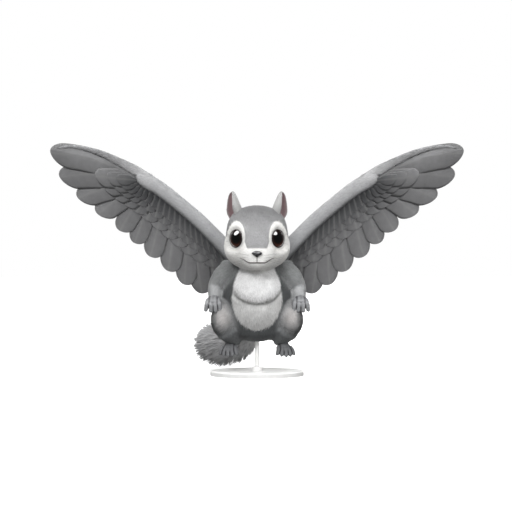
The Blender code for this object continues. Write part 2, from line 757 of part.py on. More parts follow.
def main():
    clear_scene()
    animal = new_collection("winged_squirrel")
    new_collection("cutters")
    torso, whole_torso, neck, whole_neck = torso_and_neck(animal)
    whole_head = head_and_face(animal)
    carve(neck, [grown(whole_head)])
    carve(torso, [grown(whole_neck), grown(whole_head)])
    for side, word in ((1, "left"), (-1, "right")):
        limbs(side, word, (whole_torso, whole_head, whole_neck), animal)
    thighs = [tube(THIGH, side, sides=18, caps=(14, 12)) for side in (1, -1)]
    carve(tail(animal), [grown(mesh) for mesh in (whole_torso, *thighs)])
    carve(stand(animal), [grown(whole_torso)])
    root = bpy.data.objects.new("winged_squirrel", None)
    for obj in list(animal.objects):
        smooth(obj)
        obj.parent = root
    animal.objects.link(root)


main()
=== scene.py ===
import math

import bpy
import numpy as np
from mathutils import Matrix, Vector


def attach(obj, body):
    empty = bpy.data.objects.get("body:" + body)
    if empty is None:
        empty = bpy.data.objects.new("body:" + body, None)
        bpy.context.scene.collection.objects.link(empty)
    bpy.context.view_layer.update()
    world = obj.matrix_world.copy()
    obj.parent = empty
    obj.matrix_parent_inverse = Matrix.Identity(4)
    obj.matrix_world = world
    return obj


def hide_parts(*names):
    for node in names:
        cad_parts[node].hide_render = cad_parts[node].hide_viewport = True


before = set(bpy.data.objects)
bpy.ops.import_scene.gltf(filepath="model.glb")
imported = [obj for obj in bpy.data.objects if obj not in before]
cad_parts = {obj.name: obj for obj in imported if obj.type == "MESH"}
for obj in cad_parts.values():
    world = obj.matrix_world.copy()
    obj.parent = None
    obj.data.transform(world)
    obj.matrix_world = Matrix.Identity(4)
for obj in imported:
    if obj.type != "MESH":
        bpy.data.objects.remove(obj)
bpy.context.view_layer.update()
mm = 0.001  # tables below are in millimetres, as in the source of the solids
scene = bpy.context.scene
sides = ((1, "left"), (-1, "right"))


# Small sums used everywhere

def unit(v):
    # each row divided by its own length
    return v / np.maximum(np.linalg.norm(v, axis=-1, keepdims=True), 1e-12)


def fade(low, high, x):
    # 3t^2 - 2t^3, where t runs from 0 at low to 1 at high
    t = np.clip((x - low) / (high - low), 0, 1)
    return t * t * (3 - 2 * t)


def linear(*tones):
    # display tones out of 255 turned into the linear values that the shaders take
    t = np.asarray(tones, float) / 255
    return np.where(t <= 0.04045, t / 12.92, ((t + 0.055) / 1.055) ** 2.4)


def mixed(a, b, share):
    # a where share is 0, b where it is 1, straight between
    return a + (b - a) * share[..., None]


def laidFlat(ways, normals):
    # each way less its part along the normal, made unit length
    return unit(ways - (ways * normals).sum(-1, keepdims=True) * normals)


def circle(count):
    # even angles round a circle
    return np.linspace(0, 2 * math.pi, count, endpoint=False)


def sphereWays(rows, around, margin=0.02):
    # unit directions in rings of latitude, with a margin left round both poles
    tilt = np.linspace(-math.pi / 2 + margin, math.pi / 2 - margin, rows)[:, None]
    turn = circle(around)[None]
    return np.stack([np.cos(tilt) * np.cos(turn), np.cos(tilt) * np.sin(turn),
                     np.sin(tilt) + 0 * turn], -1)


def squaresTo(points, line):
    # squared distance from each point to each place of a line
    return ((points[:, None] - line[None]) ** 2).sum(-1)


def tonesOf(spec):
    # the table's display tones as linear values
    return {key: linear(*value) for key, value in spec["tones"].items()}


def mottle(points, size, seed):
    # sum of four sine waves that run in random directions, about -1 to 1, size is their length
    draw = np.random.default_rng(seed)
    ways = unit(draw.normal(size=(4, 3))) * 2 * math.pi / size * draw.uniform(0.7, 1.4, (4, 1))
    return np.sin(points @ ways.T + draw.uniform(0, 6.28, 4)).sum(-1) / 2.6


def through(rows, count):
    # Catmull-Rom curve through the rows, taken at count even places
    rows = np.asarray(rows, float)
    padded = np.vstack([2 * rows[0] - rows[1], rows, 2 * rows[-1] - rows[-2]])
    place = np.linspace(0, len(rows) - 1, count)
    first = np.minimum(place.astype(int), len(rows) - 2)
    u = (place - first)[:, None]
    a, b, c, d = (padded[first + k] for k in range(4))
    return 0.5 * (
        2 * b + (c - a) * u + (2 * a - 5 * b + 4 * c - d) * u**2 + (3 * b - a - 3 * c + d) * u**3
    )


# Meshes from arrays

def meshOf(name, points, faces, colours=None, maps=None, normals=None):
    # faces is a list of arrays of point numbers, colours are one for all or one a point, and maps
    # gives for each map one (u, v) a point
    mesh = bpy.data.meshes.new(name)
    mesh.vertices.add(len(points))
    mesh.vertices.foreach_set("co", (points * mm).astype(np.float32).ravel())
    corners = np.concatenate([f.ravel() for f in faces])
    sizes = np.concatenate([np.full(len(f), f.shape[1]) for f in faces])
    mesh.loops.add(len(corners))
    mesh.loops.foreach_set("vertex_index", corners.astype(np.int32))
    mesh.polygons.add(len(sizes))
    mesh.polygons.foreach_set("loop_start", (np.cumsum(sizes) - sizes).astype(np.int32))
    mesh.polygons.foreach_set("use_smooth", np.ones(len(sizes), bool))
    mesh.update(calc_edges=True)
    for mapName, values in (maps or {}).items():
        mesh.uv_layers.new(name=mapName).data.foreach_set("uv", values[corners].astype(np.float32).ravel())
    if colours is not None:
        rgba = np.ones((len(points), 4), np.float32)
        rgba[:, :3] = np.clip(colours, 0, 1)
        mesh.attributes.new("tint", "FLOAT_COLOR", "POINT").data.foreach_set("color", rgba.ravel())
    if normals is not None:
        mesh.normals_split_custom_set_from_vertices(normals.astype(np.float32))
    return mesh


def arraysOf(mesh):
    # points in millimetres and corner numbers of a mesh's triangles
    mesh.calc_loop_triangles()
    points = np.empty(len(mesh.vertices) * 3, np.float32)
    mesh.vertices.foreach_get("co", points)
    triangles = np.empty(len(mesh.loop_triangles) * 3, np.int32)
    mesh.loop_triangles.foreach_get("vertices", triangles)
    return points.reshape(-1, 3).astype(float) / mm, triangles.reshape(-1, 3)


def pointNormals(points, triangles):
    # sum of the cross products of the triangles round each point, made unit length
    a, b, c = (points[triangles[:, k]] for k in range(3))
    cross = np.cross(b - a, c - a)
    summed = np.zeros_like(points)
    for k in range(3):
        np.add.at(summed, triangles[:, k], cross)
    return unit(summed)


def sweptFaces(copies, rows, around, pointed):
    # quads between neighbouring rings, a cap at the root, and a point or a cap at the tip
    grid = np.arange(rows * around).reshape(rows, around)
    ahead = np.roll(grid, -1, axis=1)
    quads = np.stack([grid[:-1], ahead[:-1], ahead[1:], grid[1:]], -1).reshape(-1, 4)
    total = rows * around + (1 if pointed else 0)
    shift = (np.arange(copies) * total)[:, None, None]
    parts = [quads, grid[0][::-1][None]]
    if pointed:
        tip = np.full(around, rows * around)
        parts.append(np.stack([grid[-1], ahead[-1], tip], -1))
    else:
        parts.append(grid[-1][None])
    return [(part[None] + shift).reshape(-1, part.shape[1]) for part in parts]


def turnedOut(points, faces):
    # the volume by the divergence theorem, and every face reversed where that is below zero
    volume = 0.0
    middle = points.mean(0)
    for face in faces:
        a = points[face[:, 0]] - middle
        for k in range(1, face.shape[1] - 1):
            b, c = points[face[:, k]] - middle, points[face[:, k + 1]] - middle
            volume += (a * np.cross(b, c)).sum()
    return faces if volume > 0 else [face[:, ::-1] for face in faces]


def pieceOf(name, mesh, finish, stands=()):
    # a piece of the model, with its material slot and the solids that it stands for
    piece = bpy.data.objects.new(name, mesh)
    scene.collection.objects.link(piece)
    piece.data.materials.append(finish)
    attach(piece, "root")
    if stands:
        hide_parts(*stands)


# Finishes

def newFinish(name, roughness, **sockets):
    made = bpy.data.materials.new(name)
    made.use_nodes = True
    shader = made.node_tree.nodes["Principled BSDF"]
    shader.inputs["Roughness"].default_value = roughness
    for socket, value in sockets.items():
        shader.inputs[socket.replace("_", " ")].default_value = value
    return made, made.node_tree, shader


def node(tree, kind, links=(), **settings):
    # links are (input, value or socket) pairs
    made = tree.nodes.new(kind)
    for key, value in settings.items():
        setattr(made, key, value)
    for key, value in links:
        if isinstance(value, bpy.types.NodeSocket):
            tree.links.new(value, made.inputs[key])
        else:
            made.inputs[key].default_value = value
    return made


def maths(tree, operation, *values):
    # one sum on sockets or numbers
    return node(tree, "ShaderNodeMath", list(enumerate(values)), operation=operation).outputs[0]


def ranged(tree, value, toLow, toHigh, fromLow=0.0, fromHigh=1.0):
    # the value between two limits carried over to two others
    return node(tree, "ShaderNodeMapRange",
                [("Value", value), ("From Min", fromLow), ("From Max", fromHigh),
                 ("To Min", toLow), ("To Max", toHigh)]).outputs["Result"]


def grainOf(tree, scale, detail=3.0):
    # noise fixed to the piece
    place = node(tree, "ShaderNodeTexCoord")
    return node(tree, "ShaderNodeTexNoise", [("Vector", place.outputs["Object"]), ("Scale", scale),
                                             ("Detail", detail)]).outputs["Fac"]


def liftedBy(tree, shader, height, distance, strength):
    # a fine relief, distance in millimetres
    bump = node(tree, "ShaderNodeBump",
                [("Height", height), ("Distance", distance * mm), ("Strength", strength)])
    tree.links.new(bump.outputs["Normal"], shader.inputs["Normal"])


def tintedBy(tree, shader, level):
    # the piece's own tint times a level
    tint = node(tree, "ShaderNodeAttribute", attribute_name="tint")
    shaded = node(tree, "ShaderNodeVectorMath",
                  [(0, tint.outputs["Color"]), ("Scale", level)], operation="SCALE")
    tree.links.new(shaded.outputs["Vector"], shader.inputs["Base Color"])


def tintedFinish(name, roughness, grain, depth, spread, dim=1.0, **sockets):
    # the piece's own tint, with a fine grain that lightens and darkens it and lifts the surface
    made, tree, shader = newFinish(name, roughness, **sockets)
    noise = grainOf(tree, 1 / (grain * mm))
    tintedBy(tree, shader, ranged(tree, noise, dim * (1 - spread), dim * (1 + spread), 0.3, 0.7))
    liftedBy(tree, shader, noise, depth, 0.6)
    return made


coatFinish = tintedFinish("coatHair", 0.82, 1.6, 0.10, 0.05,
                          Sheen_Weight=0.18, Sheen_Roughness=0.5, Specular_IOR_Level=0.22)
skinFinish = tintedFinish("underCoat", 0.9, 1.2, 0.35, 0.12, dim=0.72, Specular_IOR_Level=0.2)
pawFinish = tintedFinish("pawHide", 0.62, 0.8, 0.14, 0.10, Specular_IOR_Level=0.35)
earFinish = tintedFinish("earHide", 0.6, 1.1, 0.10, 0.08,
                         Sheen_Weight=0.25, Sheen_Roughness=0.5, Specular_IOR_Level=0.3)
darkFinish = tintedFinish("lipHide", 0.45, 0.5, 0.05, 0.15, Specular_IOR_Level=0.4)
noseFinish = tintedFinish("noseHide", 0.36, 0.55, 0.16, 0.16, Specular_IOR_Level=0.5, Coat_Weight=0.25,
                          Coat_Roughness=0.25)
clawFinish = tintedFinish("clawHorn", 0.32, 1.5, 0.02, 0.12, Specular_IOR_Level=0.5)
downFinish = tintedFinish("featherDown", 0.8, 1.4, 0.12, 0.06, Specular_IOR_Level=0.2)
eyeFinish = tintedFinish("eyeGloss", 0.06, 0.9, 0.0, 0.10, Specular_IOR_Level=0.5, Coat_Weight=1.0,
                         Coat_Roughness=0.02)


def vaneFinish():
    # tint with barbs: thin slanting lines across the vane, from its own map (across, along) in mm
    made, tree, shader = newFinish("featherVane", 0.72, Sheen_Weight=0.22, Sheen_Roughness=0.45,
                                   Specular_IOR_Level=0.25)
    plan = node(tree, "ShaderNodeUVMap", uv_map="vane")
    parts = node(tree, "ShaderNodeSeparateXYZ", [("Vector", plan.outputs["UV"])])
    soft = grainOf(tree, 130.0)
    across = maths(tree, "ABSOLUTE", parts.outputs["X"])
    slant = maths(tree, "MULTIPLY_ADD", across, -1.15, parts.outputs["Y"])
    drift = maths(tree, "MULTIPLY_ADD", soft, 1.6, slant)
    barbs = maths(tree, "SINE", maths(tree, "MULTIPLY", drift, 7.0))
    level = maths(tree, "MULTIPLY", ranged(tree, barbs, 0.93, 1.05, -1.0, 1.0),
                  ranged(tree, soft, 0.94, 1.06, 0.3, 0.7))
    tintedBy(tree, shader, level)
    liftedBy(tree, shader, barbs, 0.05, 0.5)
    return made


featherFinish = vaneFinish()
print("finishes made")


# The body's own form: the same sizes as the solids have

body = {
    "headCentre": (0.0, -6.0, 163.5),
    "headAxes": (35.5, 38.0, 39.5),
    "swellings": (  # direction, height, spread sideways and upright; those off the middle on both sides
        ((0.80, -0.42, -0.42), 7.5, 0.40, 0.36),
        ((0.72, 0.10, 0.66), 4.5, 0.42, 0.34),
        ((0.0, -0.93, -0.40), 9.0, 0.46, 0.34),
        ((0.0, -0.90, -0.43), 6.5, 0.26, 0.20),
        ((0.0, -0.97, -0.16), 2.6, 0.24, 0.15),
        ((0.0, -0.82, -0.58), 4.6, 0.30, 0.13),
        ((0.0, -0.72, -0.69), 2.6, 0.30, 0.16),
        ((0.60, -0.76, -0.02), -2.2, 0.22, 0.26),
        ((0.0, 0.75, -0.66), -3.0, 0.50, 0.45),
    ),
    "bib": ((0.0, -8.0, 97.0), (31.0, 28.5, 36.0)),
    "belly": ((0.0, -8.0, 78.0), (30.0, 28.0, 32.0)),
    "voxel": 1.15,
    "smoothing": 9,
}
# centreline of each part: x, y, z, radius sideways, radius the other way; then its caps, its
# reference direction and its place on the coat's unwrap
bones = {
    "torso": (
        ((0, 7, 124, 30, 26), (0, 5, 112, 37.5, 31), (0, 3, 96, 42, 35), (0, 3, 78, 40, 37),
         (0, 5, 62, 39, 35)), (14, 21), (0, 1, 0), (0.00, 0.00, 0.44, 0.48),
    ),
    "neck": (
        ((0, 2, 146, 25, 25), (0, 6, 130, 26, 25), (0, 9, 116, 25, 23)), (4, 4), (0, 1, 0),
        (0.45, 0.00, 0.25, 0.14),
    ),
    "armLeft": (
        ((32, 2, 126, 13, 14), (41, 4, 118, 13, 13), (48.5, 6, 106, 10.5, 11), (50, -3, 97, 9, 9),
         (50.5, -13, 90, 7.6, 7)), (10, 6), (0, 0, 1), (0.45, 0.15, 0.12, 0.22),
    ),
    "legLeft": (
        ((26, 8, 72, 18, 24), (35, -4, 70, 18.5, 25), (41, -16, 65, 14.5, 21)), (14, 12), (0, 0, 1),
        (0.45, 0.38, 0.18, 0.14),
    ),
    "shankLeft": (
        ((35, -11, 56, 16, 15), (29, -4, 47, 13.5, 12), (30, 2, 40, 8.4, 8)), (9, 7), (0, 0, 1),
        (0.83, 0.38, 0.16, 0.12),
    ),
    "tail": (
        ((0, 26, 56, 8.6, 8.6), (-4, 40, 49, 10, 10), (-15, 56, 40, 11.4, 11.4), (-31, 72, 36, 12, 12),
         (-45, 89, 35.5, 12, 12), (-51, 106, 36, 9.6, 9.6), (-53, 122, 37, 4.8, 4.8)), (6, 4),
        (0, 0, 1), (0.71, 0.00, 0.28, 0.36),
    ),
}
mirrored = {"armLeft": ("armRight", 0.13, 0), "legLeft": ("legRight", 0.19, 0),
            "shankLeft": ("shankRight", 0, 0.13)}
for left, (right, moveU, moveV) in mirrored.items():
    rows, caps, reference, tile = bones[left]
    bones[right] = (
        tuple((-x, y, z, a, b) for x, y, z, a, b in rows), caps, reference,
        (tile[0] + moveU, tile[1] + moveV, tile[2], tile[3]),
    )


def headRadius(ways):
    # radius of the ellipsoid along each direction, plus a Gaussian for each swelling
    radius = 1 / np.sqrt(((ways / np.array(body["headAxes"])) ** 2).sum(-1))
    for place, height, sideways, upright in body["swellings"]:
        for side in (1, -1) if place[0] else (1,):
            away = (ways - unit(np.array(place) * (side, 1, 1))) / np.array([sideways, sideways, upright])
            radius = radius + height * np.exp(-0.5 * (away**2).sum(-1))
    return radius


def headPoint(way):
    # where a way from the head's centre meets its surface
    way = unit(np.asarray(way, float))
    return np.array(body["headCentre"]) + way * headRadius(way[None])[0]


def onFace(x, z, sunk=0.0):
    # the head's front at x and z: y halved in on until the point lies on the surface
    x, z = np.broadcast_arrays(np.asarray(x, float), np.asarray(z, float))
    centre = np.array(body["headCentre"])
    near, far = np.full(x.shape, -90.0), np.full(x.shape, centre[1])
    for _ in range(40):
        y = (near + far) / 2
        p = np.stack([x, y, z], -1) - centre
        outside = np.linalg.norm(p, axis=-1) > headRadius(unit(p)) - sunk
        near, far = np.where(outside, y, near), np.where(outside, far, y)
    return np.stack([x, (near + far) / 2, z], -1)


def frameAlong(line, reference):
    # unit directions ahead, across and the other way at each point of a line
    ahead = unit(np.gradient(line, axis=0))
    across = unit(np.cross(ahead, np.asarray(reference, float)))
    return ahead, across, np.cross(ahead, across)


def tubeRings(rows, steps, around, caps, reference, capSteps=6):
    # oval rings carried along the curve through the rows, shrinking to round ends
    line = through(rows, steps)
    ahead, across, other = frameAlong(line[:, :3], reference)
    turn = circle(around)
    k = np.arange(-capSteps, steps + capSteps)
    at = np.clip(k, 0, steps - 1)
    beyond = (np.maximum(-k, 0) + np.maximum(k - steps + 1, 0)) / (capSteps + 0.4) * math.pi / 2
    push = np.where(k < 0, -caps[0], caps[1]) * np.sin(beyond)
    middle = line[at, :3] + ahead[at] * push[:, None]
    shrink = np.cos(beyond)[:, None, None]
    return middle[:, None] + shrink * (
        line[at, 3, None, None] * np.cos(turn)[None, :, None] * across[at][:, None]
        + line[at, 4, None, None] * np.sin(turn)[None, :, None] * other[at][:, None]
    )


def ballRings(centre, radiusOf, rows=56, around=80):
    # rings of latitude: the centre plus each direction times its radius
    ways = sphereWays(rows, around)
    return np.asarray(centre, float) + ways * radiusOf(ways.reshape(-1, 3)).reshape(rows, around, 1)


def thread(line, radius, around, reference):
    # round rings of the given radii along a line
    _, across, other = frameAlong(line, reference)
    turn = circle(around)
    return line[:, None] + radius[:, None, None] * (
        np.cos(turn)[None, :, None] * across[:, None] + np.sin(turn)[None, :, None] * other[:, None])


def joinedRings(parts):
    # points and faces of several swept forms, one after another, each turned outwards
    points, faces = [], []
    for rings in parts:
        rows, around = rings.shape[:2]
        flat = rings.reshape(-1, 3)
        start = sum(len(p) for p in points)
        faces += [face + start for face in turnedOut(flat, sweptFaces(1, rows, around, False))]
        points.append(flat)
    return np.concatenate(points), faces


def fused(parts, voxel, smoothing):
    # one skin over forms that cross: they are remeshed in voxels, and the creases between relaxed
    points, faces = joinedRings(parts)
    rough = bpy.data.objects.new("rough", meshOf("rough", points, faces))
    scene.collection.objects.link(rough)
    melt = rough.modifiers.new("melt", "REMESH")
    melt.mode = "VOXEL"
    melt.voxel_size = voxel * mm
    relax = rough.modifiers.new("relax", "SMOOTH")
    relax.factor = 0.5
    relax.iterations = smoothing
    bpy.context.view_layer.update()
    made = bpy.data.meshes.new_from_object(rough.evaluated_get(bpy.context.evaluated_depsgraph_get()))
    bpy.data.objects.remove(rough)
    return made


# Where a point lies on the body: nearest part, how far along it and at what angle round it

samples = 48
boneNames = list(bones)
boneKinds = [name.removesuffix("Left").removesuffix("Right") for name in boneNames]
boneLines = {name: through(spec[0], samples) for name, spec in bones.items()}
boneFrames = {name: frameAlong(boneLines[name][:, :3], spec[2]) for name, spec in bones.items()}
noseTip = np.array((0.0, -59.0, 145.5))


def shareOf(place, *names):
    # summed share of the named parts
    return sum(place[2][:, 1 + boneNames.index(name)] for name in names)


def bodyPlace(points):
    # distance to each centreline over its radius there; the head's is the distance to its centre
    # over its radius that way; each part's share falls off from the nearest
    away = points - np.array(body["headCentre"])
    reach = np.linalg.norm(away, axis=-1)
    scores = [reach / headRadius(unit(away))]
    spots = [np.zeros(len(points), int)]
    for name in boneNames:
        line = boneLines[name]
        gap = squaresTo(points, line[:, :3])
        spot = gap.argmin(1)
        size = line[spot, 3:5].mean(-1)
        scores.append(np.sqrt(gap[np.arange(len(points)), spot]) / size)
        spots.append(spot)
    scores = np.stack(scores, -1)
    nearest = scores.argmin(-1)
    share = np.exp(-9 * (scores - scores.min(-1, keepdims=True)))
    return nearest, np.stack(spots, -1), share / share.sum(-1, keepdims=True)


def coatLie(points, normals, place):
    # each part's own way along the body, weighed by its share, round the eyes, and laid flat
    _, spots, share = place
    back = unit(points - noseTip) + fade(0, 30, points[:, 1])[:, None] * np.array([0, 0.1, -1.1])
    lie = back * share[:, :1]
    for k, name in enumerate(boneNames):
        lie = lie + boneFrames[name][0][spots[:, k + 1]] * share[:, k + 1, None]
    for side in (1, -1):
        gap = points - eyePlace(side)[0]
        near = fade(24, 15, np.linalg.norm(gap, axis=-1))
        lie = lie + unit(gap) * near[:, None] * 0.8
    return laidFlat(lie, normals)


eye = {
    "radius": 14.5, "disc": 11.0, "sunk": 1.0, "opening": 9.9, "lid": 0.62,
    "gaze": (0.50, -0.86, 0.015),
    "socket": (10.9, 10.0), "brim": (20, 11.8),  # distances from its axis where each begins and is full
    "pupil": 0.42, "iris": 0.76,  # share of the way from the middle of the pupil to the rim
    "tones": {"pupil": (6, 5, 5), "iris": (78, 42, 31), "rim": (16, 10, 9), "lid": (30, 23, 22)},
}


def eyePlace(side):
    # the eyeball's centre lies behind the rim of the disc that shows, along the way it faces
    out = unit(np.array([0.72 * side, -0.69, 0.02]))
    rim = headPoint((0.66 * side, -0.75, 0.01)) - out * eye["sunk"]
    return rim - out * math.sqrt(eye["radius"] ** 2 - eye["disc"] ** 2), out, rim


def eyeAxes(out):
    # right and up as seen along the way that the eye faces
    right = unit(np.cross(out, (0, 0, 1.0)))
    return right, np.cross(right, out)


# Markings, shared by the skin and the coat

marks = {"tones": {
    "crown": (150, 150, 151), "top": (104, 104, 105), "back": (122, 123, 124), "flank": (73, 75, 76),
    "white": (250, 249, 246), "cheek": (228, 227, 224), "bib": (232, 232, 232),
    "belly": (194, 194, 193), "arm": (140, 142, 142), "forearm": (165, 166, 167),
    "thigh": (144, 145, 146), "kneeHighlight": (212, 208, 206), "shank": (98, 100, 101),
    "tail": (136, 136, 137)},
    # x and z of each ellipse's middle, and its half axes; the bib has only the lower half of its own
    "patch": (24.3, 165.4, 10.2, 18.8), "bib": (0.0, 109.0, 27.4, 19.0),
    "belly": (0.0, 92.0, 28.7, 36.0), "kneeHighlight": (40.5, 70.5, 7.5, 12.0),
}


def oval(x, z, name):
    # squared distance from the middle of a marking's ellipse, 1 on its edge
    middleX, middleZ, wide, tall = marks[name]
    return ((x - middleX) / wide) ** 2 + ((z - middleZ) / tall) ** 2


def aboveHem(x, z):
    # height over the lower edge of the bib, half an ellipse
    _, middle, wide, tall = marks["bib"]
    return z - middle + tall * np.sqrt(np.clip(1 - (x / wide) ** 2, 0, 1))


def markings(points, place):
    # grey parts by their share, then the face, bib, belly and knees laid over them by their outlines;
    # painted shade on the crown, flanks, belly and bib's edge, and a painted highlight on the knees
    x, y, z = np.abs(points[:, 0]), points[:, 1], points[:, 2]
    share = place[2]
    tone = tonesOf(marks)
    # the flanks darker than the back: partly the coat's own tone, partly painted shade
    trunk = mixed(tone["flank"], tone["back"], fade(5, 30, y))
    # painted shade: the crown darkens upwards and to its sides, where the light falls off
    darker = np.maximum(fade(174, 203, z), 0.72 * fade(17, 36, x)) * fade(30, 0, y)
    crown = mixed(mixed(tone["crown"], tone["back"], fade(2, 28, y)), tone["top"], darker)
    colour = share[:, :1] * crown
    greys = {"arm": mixed(tone["arm"], tone["forearm"], fade(124, 102, z)),
             "leg": mixed(tone["thigh"], tone["shank"], fade(62, 49, z)),
             "shank": tone["shank"], "tail": tone["tail"]}
    for k, kind in enumerate(boneKinds):
        colour = colour + greys.get(kind, trunk) * share[:, k + 1, None]
    head = fade(0.35, 0.65, share[:, 0])
    trunkShare = fade(0.3, 0.6, shareOf(place, "torso", "neck"))
    # belly and bib, on the front only
    front = fade(2, -8, y) * trunkShare
    belly = fade(1.10, 0.94, oval(x, z, "belly")) * front
    # painted shade: the belly darkens towards its lower end
    colour = mixed(colour, tone["belly"], belly) * (1 - 0.16 * belly * fade(72, 54, z))[:, None]
    _, middle, wide, _ = marks["bib"]
    lower = oval(x, np.minimum(z, middle), "bib")
    upper = (x + np.maximum(z - middle, 0) * 0.36) / wide
    bib = fade(1.10, 0.94, lower) * fade(1.06, 0.95, upper) * front * fade(145, 136, z)
    colour = mixed(colour, tone["bib"], bib)
    # painted shade: the bib's lower edge is darkened, and the belly darkest just under it
    above = aboveHem(x, z)
    paintedHemShade = 0.26 * np.exp(-((above + 2.6) / 3.2) ** 2) + 0.26 * fade(10, 0, above) * fade(-3, 1, above)
    colour = colour * (1 - paintedHemShade * front * fade(wide + 2, wide - 3, x))[:, None]
    # painted highlight on the knees
    kneeHighlight = 0.85 * np.exp(-oval(x, z, "kneeHighlight")) * fade(0, -12, y) * shareOf(place, "legLeft", "legRight")
    colour = mixed(colour, tone["kneeHighlight"], kneeHighlight)
    # white eye patches, cheeks and muzzle
    patch = fade(1.16, 0.92, oval(x, z, "patch")) * fade(2, -4, y)
    # upper edge of the pale cheek: it climbs beside the muzzle and again outside the eye, then falls
    line = 152 + 12 * fade(11.0, 16.5, x) + 6 * fade(27, 33, x) - 8 * fade(33.5, 38, x)
    edge = 6 - 0.5 * (z - 140)
    low = fade(line + 1.2, line - 1.2, z) * fade(edge + 5, edge - 3, y)
    pale = mixed(tone["white"], tone["cheek"], fade(14, 27, np.linalg.norm(points - noseTip, axis=-1)))
    colour = colour + (pale - colour) * (np.maximum(patch, low) * head)[:, None]
    return colour * (1 + 0.05 * mottle(points, 16, 5) + 0.04 * mottle(points, 6, 6))[:, None]


# Skin

coat = {
    "head": (1.7, 4.6), "trunk": 7.0, "arm": 4.8, "leg": 5.6, "shank": 4.2, "tail": 9.0,
    "lift": 0.30,  # how far a tuft stands off the skin, of its length
    "width": 0.15, "leastWidth": 0.42,  # of its length, and in millimetres
    "rootDepth": 0.35,  # how deep the tufts are rooted
    "swirl": (22, 0.10),  # length of the waves in which the coat turns aside, and how far it does
    "perSquareMm": 1.55, "faceExtra": 2.2,
}
# the bib stands a little over the belly, with a groove under its lower edge
hem = {"raised": 1.5, "sunk": 0.7, "under": 2.6}


def coatLength(points, place):
    # short at the nose, longer backwards, and for each part below the head its own
    share = place[2]
    low, high = coat["head"]
    head = low + (high - low) * fade(4, 62, np.linalg.norm(points - noseTip, axis=-1))
    length = head * share[:, 0]
    for k, kind in enumerate(boneKinds):
        length = length + coat.get(kind, coat["trunk"]) * share[:, k + 1]
    return length


def aroundEye(points, side):
    # height above the eye's rim plane, distance from its axis, and the axis
    _, out, rim = eyePlace(side)
    away = points - rim
    height = away @ out
    return height, np.linalg.norm(away - height[:, None] * out, axis=-1), out


def shapedSkin(points, normals, place):
    # let in by the coat's depth, raised over the bib with a groove below it, hollowed behind the
    # eyes and raised to their lids
    depth = coatLength(points, place) * coat["lift"] * 0.85
    points = points - normals * depth[:, None]
    x, y, z = np.abs(points[:, 0]), points[:, 1], points[:, 2]
    above = aboveHem(x, z)
    ledge = hem["raised"] * fade(-1.0, 3.0, above) * fade(45, 5, above)
    ledge = ledge - hem["sunk"] * np.exp(-((above + hem["under"]) / 2.4) ** 2)
    ledge = ledge * fade(29, 23, x) * fade(-8, -16, y) * fade(130, 100, z)
    points = points + normals * ledge[:, None]
    for side in (1, -1):
        height, ring, out = aroundEye(points, side)
        ballTop = np.sqrt(np.clip(eye["radius"] ** 2 - ring**2, 0, None)) - math.sqrt(
            eye["radius"] ** 2 - eye["disc"] ** 2)
        socket = fade(*eye["socket"], ring)
        brim = fade(*eye["brim"], ring)
        wanted = height + (-0.15 - height) * brim
        wanted = wanted + (np.minimum(wanted, ballTop - 2.0) - wanted) * socket
        near = (np.abs(height) < 16) & (ring < 20) & (points @ out > eyePlace(side)[0] @ out - 4)
        points = points + out * np.where(near, wanted - height, 0)[:, None]
    return points


skinParts = [ballRings(body["headCentre"], headRadius)]
skinParts += [tubeRings(spec[0], 26, 40, spec[1], spec[2]) for spec in bones.values()]
for key in ("bib", "belly"):
    centre, axes = body[key]
    skinParts.append(ballRings(centre, lambda w, a=axes: 1 / np.sqrt(((w / np.array(a)) ** 2).sum(-1))))
skinPoints, skinTriangles = arraysOf(fused(skinParts, body["voxel"], body["smoothing"]))
skinNormals = pointNormals(skinPoints, skinTriangles)
skinPlace = bodyPlace(skinPoints)
skinPoints = shapedSkin(skinPoints, skinNormals, skinPlace)
skinNormals = pointNormals(skinPoints, skinTriangles)
skinColours = markings(skinPoints, skinPlace)
pieceOf(
    "skin", meshOf("skin", skinPoints, [skinTriangles], skinColours), skinFinish,
    ("head", "neck", "torso", "upper_arm_left", "upper_arm_right", "forearm_left", "forearm_right",
     "thigh_left", "thigh_right", "shank_left", "shank_right", "tail"),
)
print("skin", len(skinTriangles), "triangles")


# Coat

def rooted(points, normals, triangles, density, seed):
    # on each triangle a number of roots by its area and density, at random places in it, and the
    # normals there, both blended from its three corners
    draw = np.random.default_rng(seed)
    a, b, c = (points[triangles[:, k]] for k in range(3))
    area = np.linalg.norm(np.cross(b - a, c - a), axis=-1) / 2
    count = (area * density + draw.random(len(area))).astype(int)
    corners = triangles[np.repeat(np.arange(len(area)), count)]
    u, v = draw.random(len(corners)), draw.random(len(corners))
    over = u + v > 1
    u, v = np.where(over, 1 - u, u), np.where(over, 1 - v, v)
    weights = np.stack([1 - u - v, u, v], -1)[..., None]
    return (points[corners] * weights).sum(1), unit((normals[corners] * weights).sum(1))


def tufts(name, roots, normals, lie, length, width, lift, colours, unwrap, seed, curl=0.0):
    # a piece of three-sided spikes: rings of three points along a path that leaves the skin and
    # bends back to it, height = lift * length * t * (1.5 - 0.75 t), closed by a point; curl bends
    # them sideways
    draw = np.random.default_rng(seed)
    count = len(roots)
    side = unit(np.cross(normals, lie))
    up = np.cross(lie, side)
    length = length * draw.uniform(0.8, 1.2, count)
    bend = draw.normal(0, 0.10, count) + curl
    stand = lift * draw.uniform(0.75, 1.25, count)

    def path(t):
        return (roots - normals * coat["rootDepth"]
                + lie * (length * t)[:, None]
                + up * (length * stand * t * (1.5 - 0.75 * t))[:, None]
                + side * (length * bend * t * t)[:, None])

    def halfAt(t):
        return width * 0.5 * (1.0 - 0.25 * abs(t - 0.35))

    steps = (0.0, 0.5)
    points, soft = spikes(path, halfAt, side, up, normals[:, None], steps, 0.55)
    shade = np.array([0.80 + 0.22 * t for t in steps for _ in range(3)] + [1.10])
    flick = draw.normal(1.0, 0.055, count)
    tint = colours[:, None] * shade[None, :, None] * flick[:, None, None]
    coatPiece(name, points, tint, unwrap, soft)


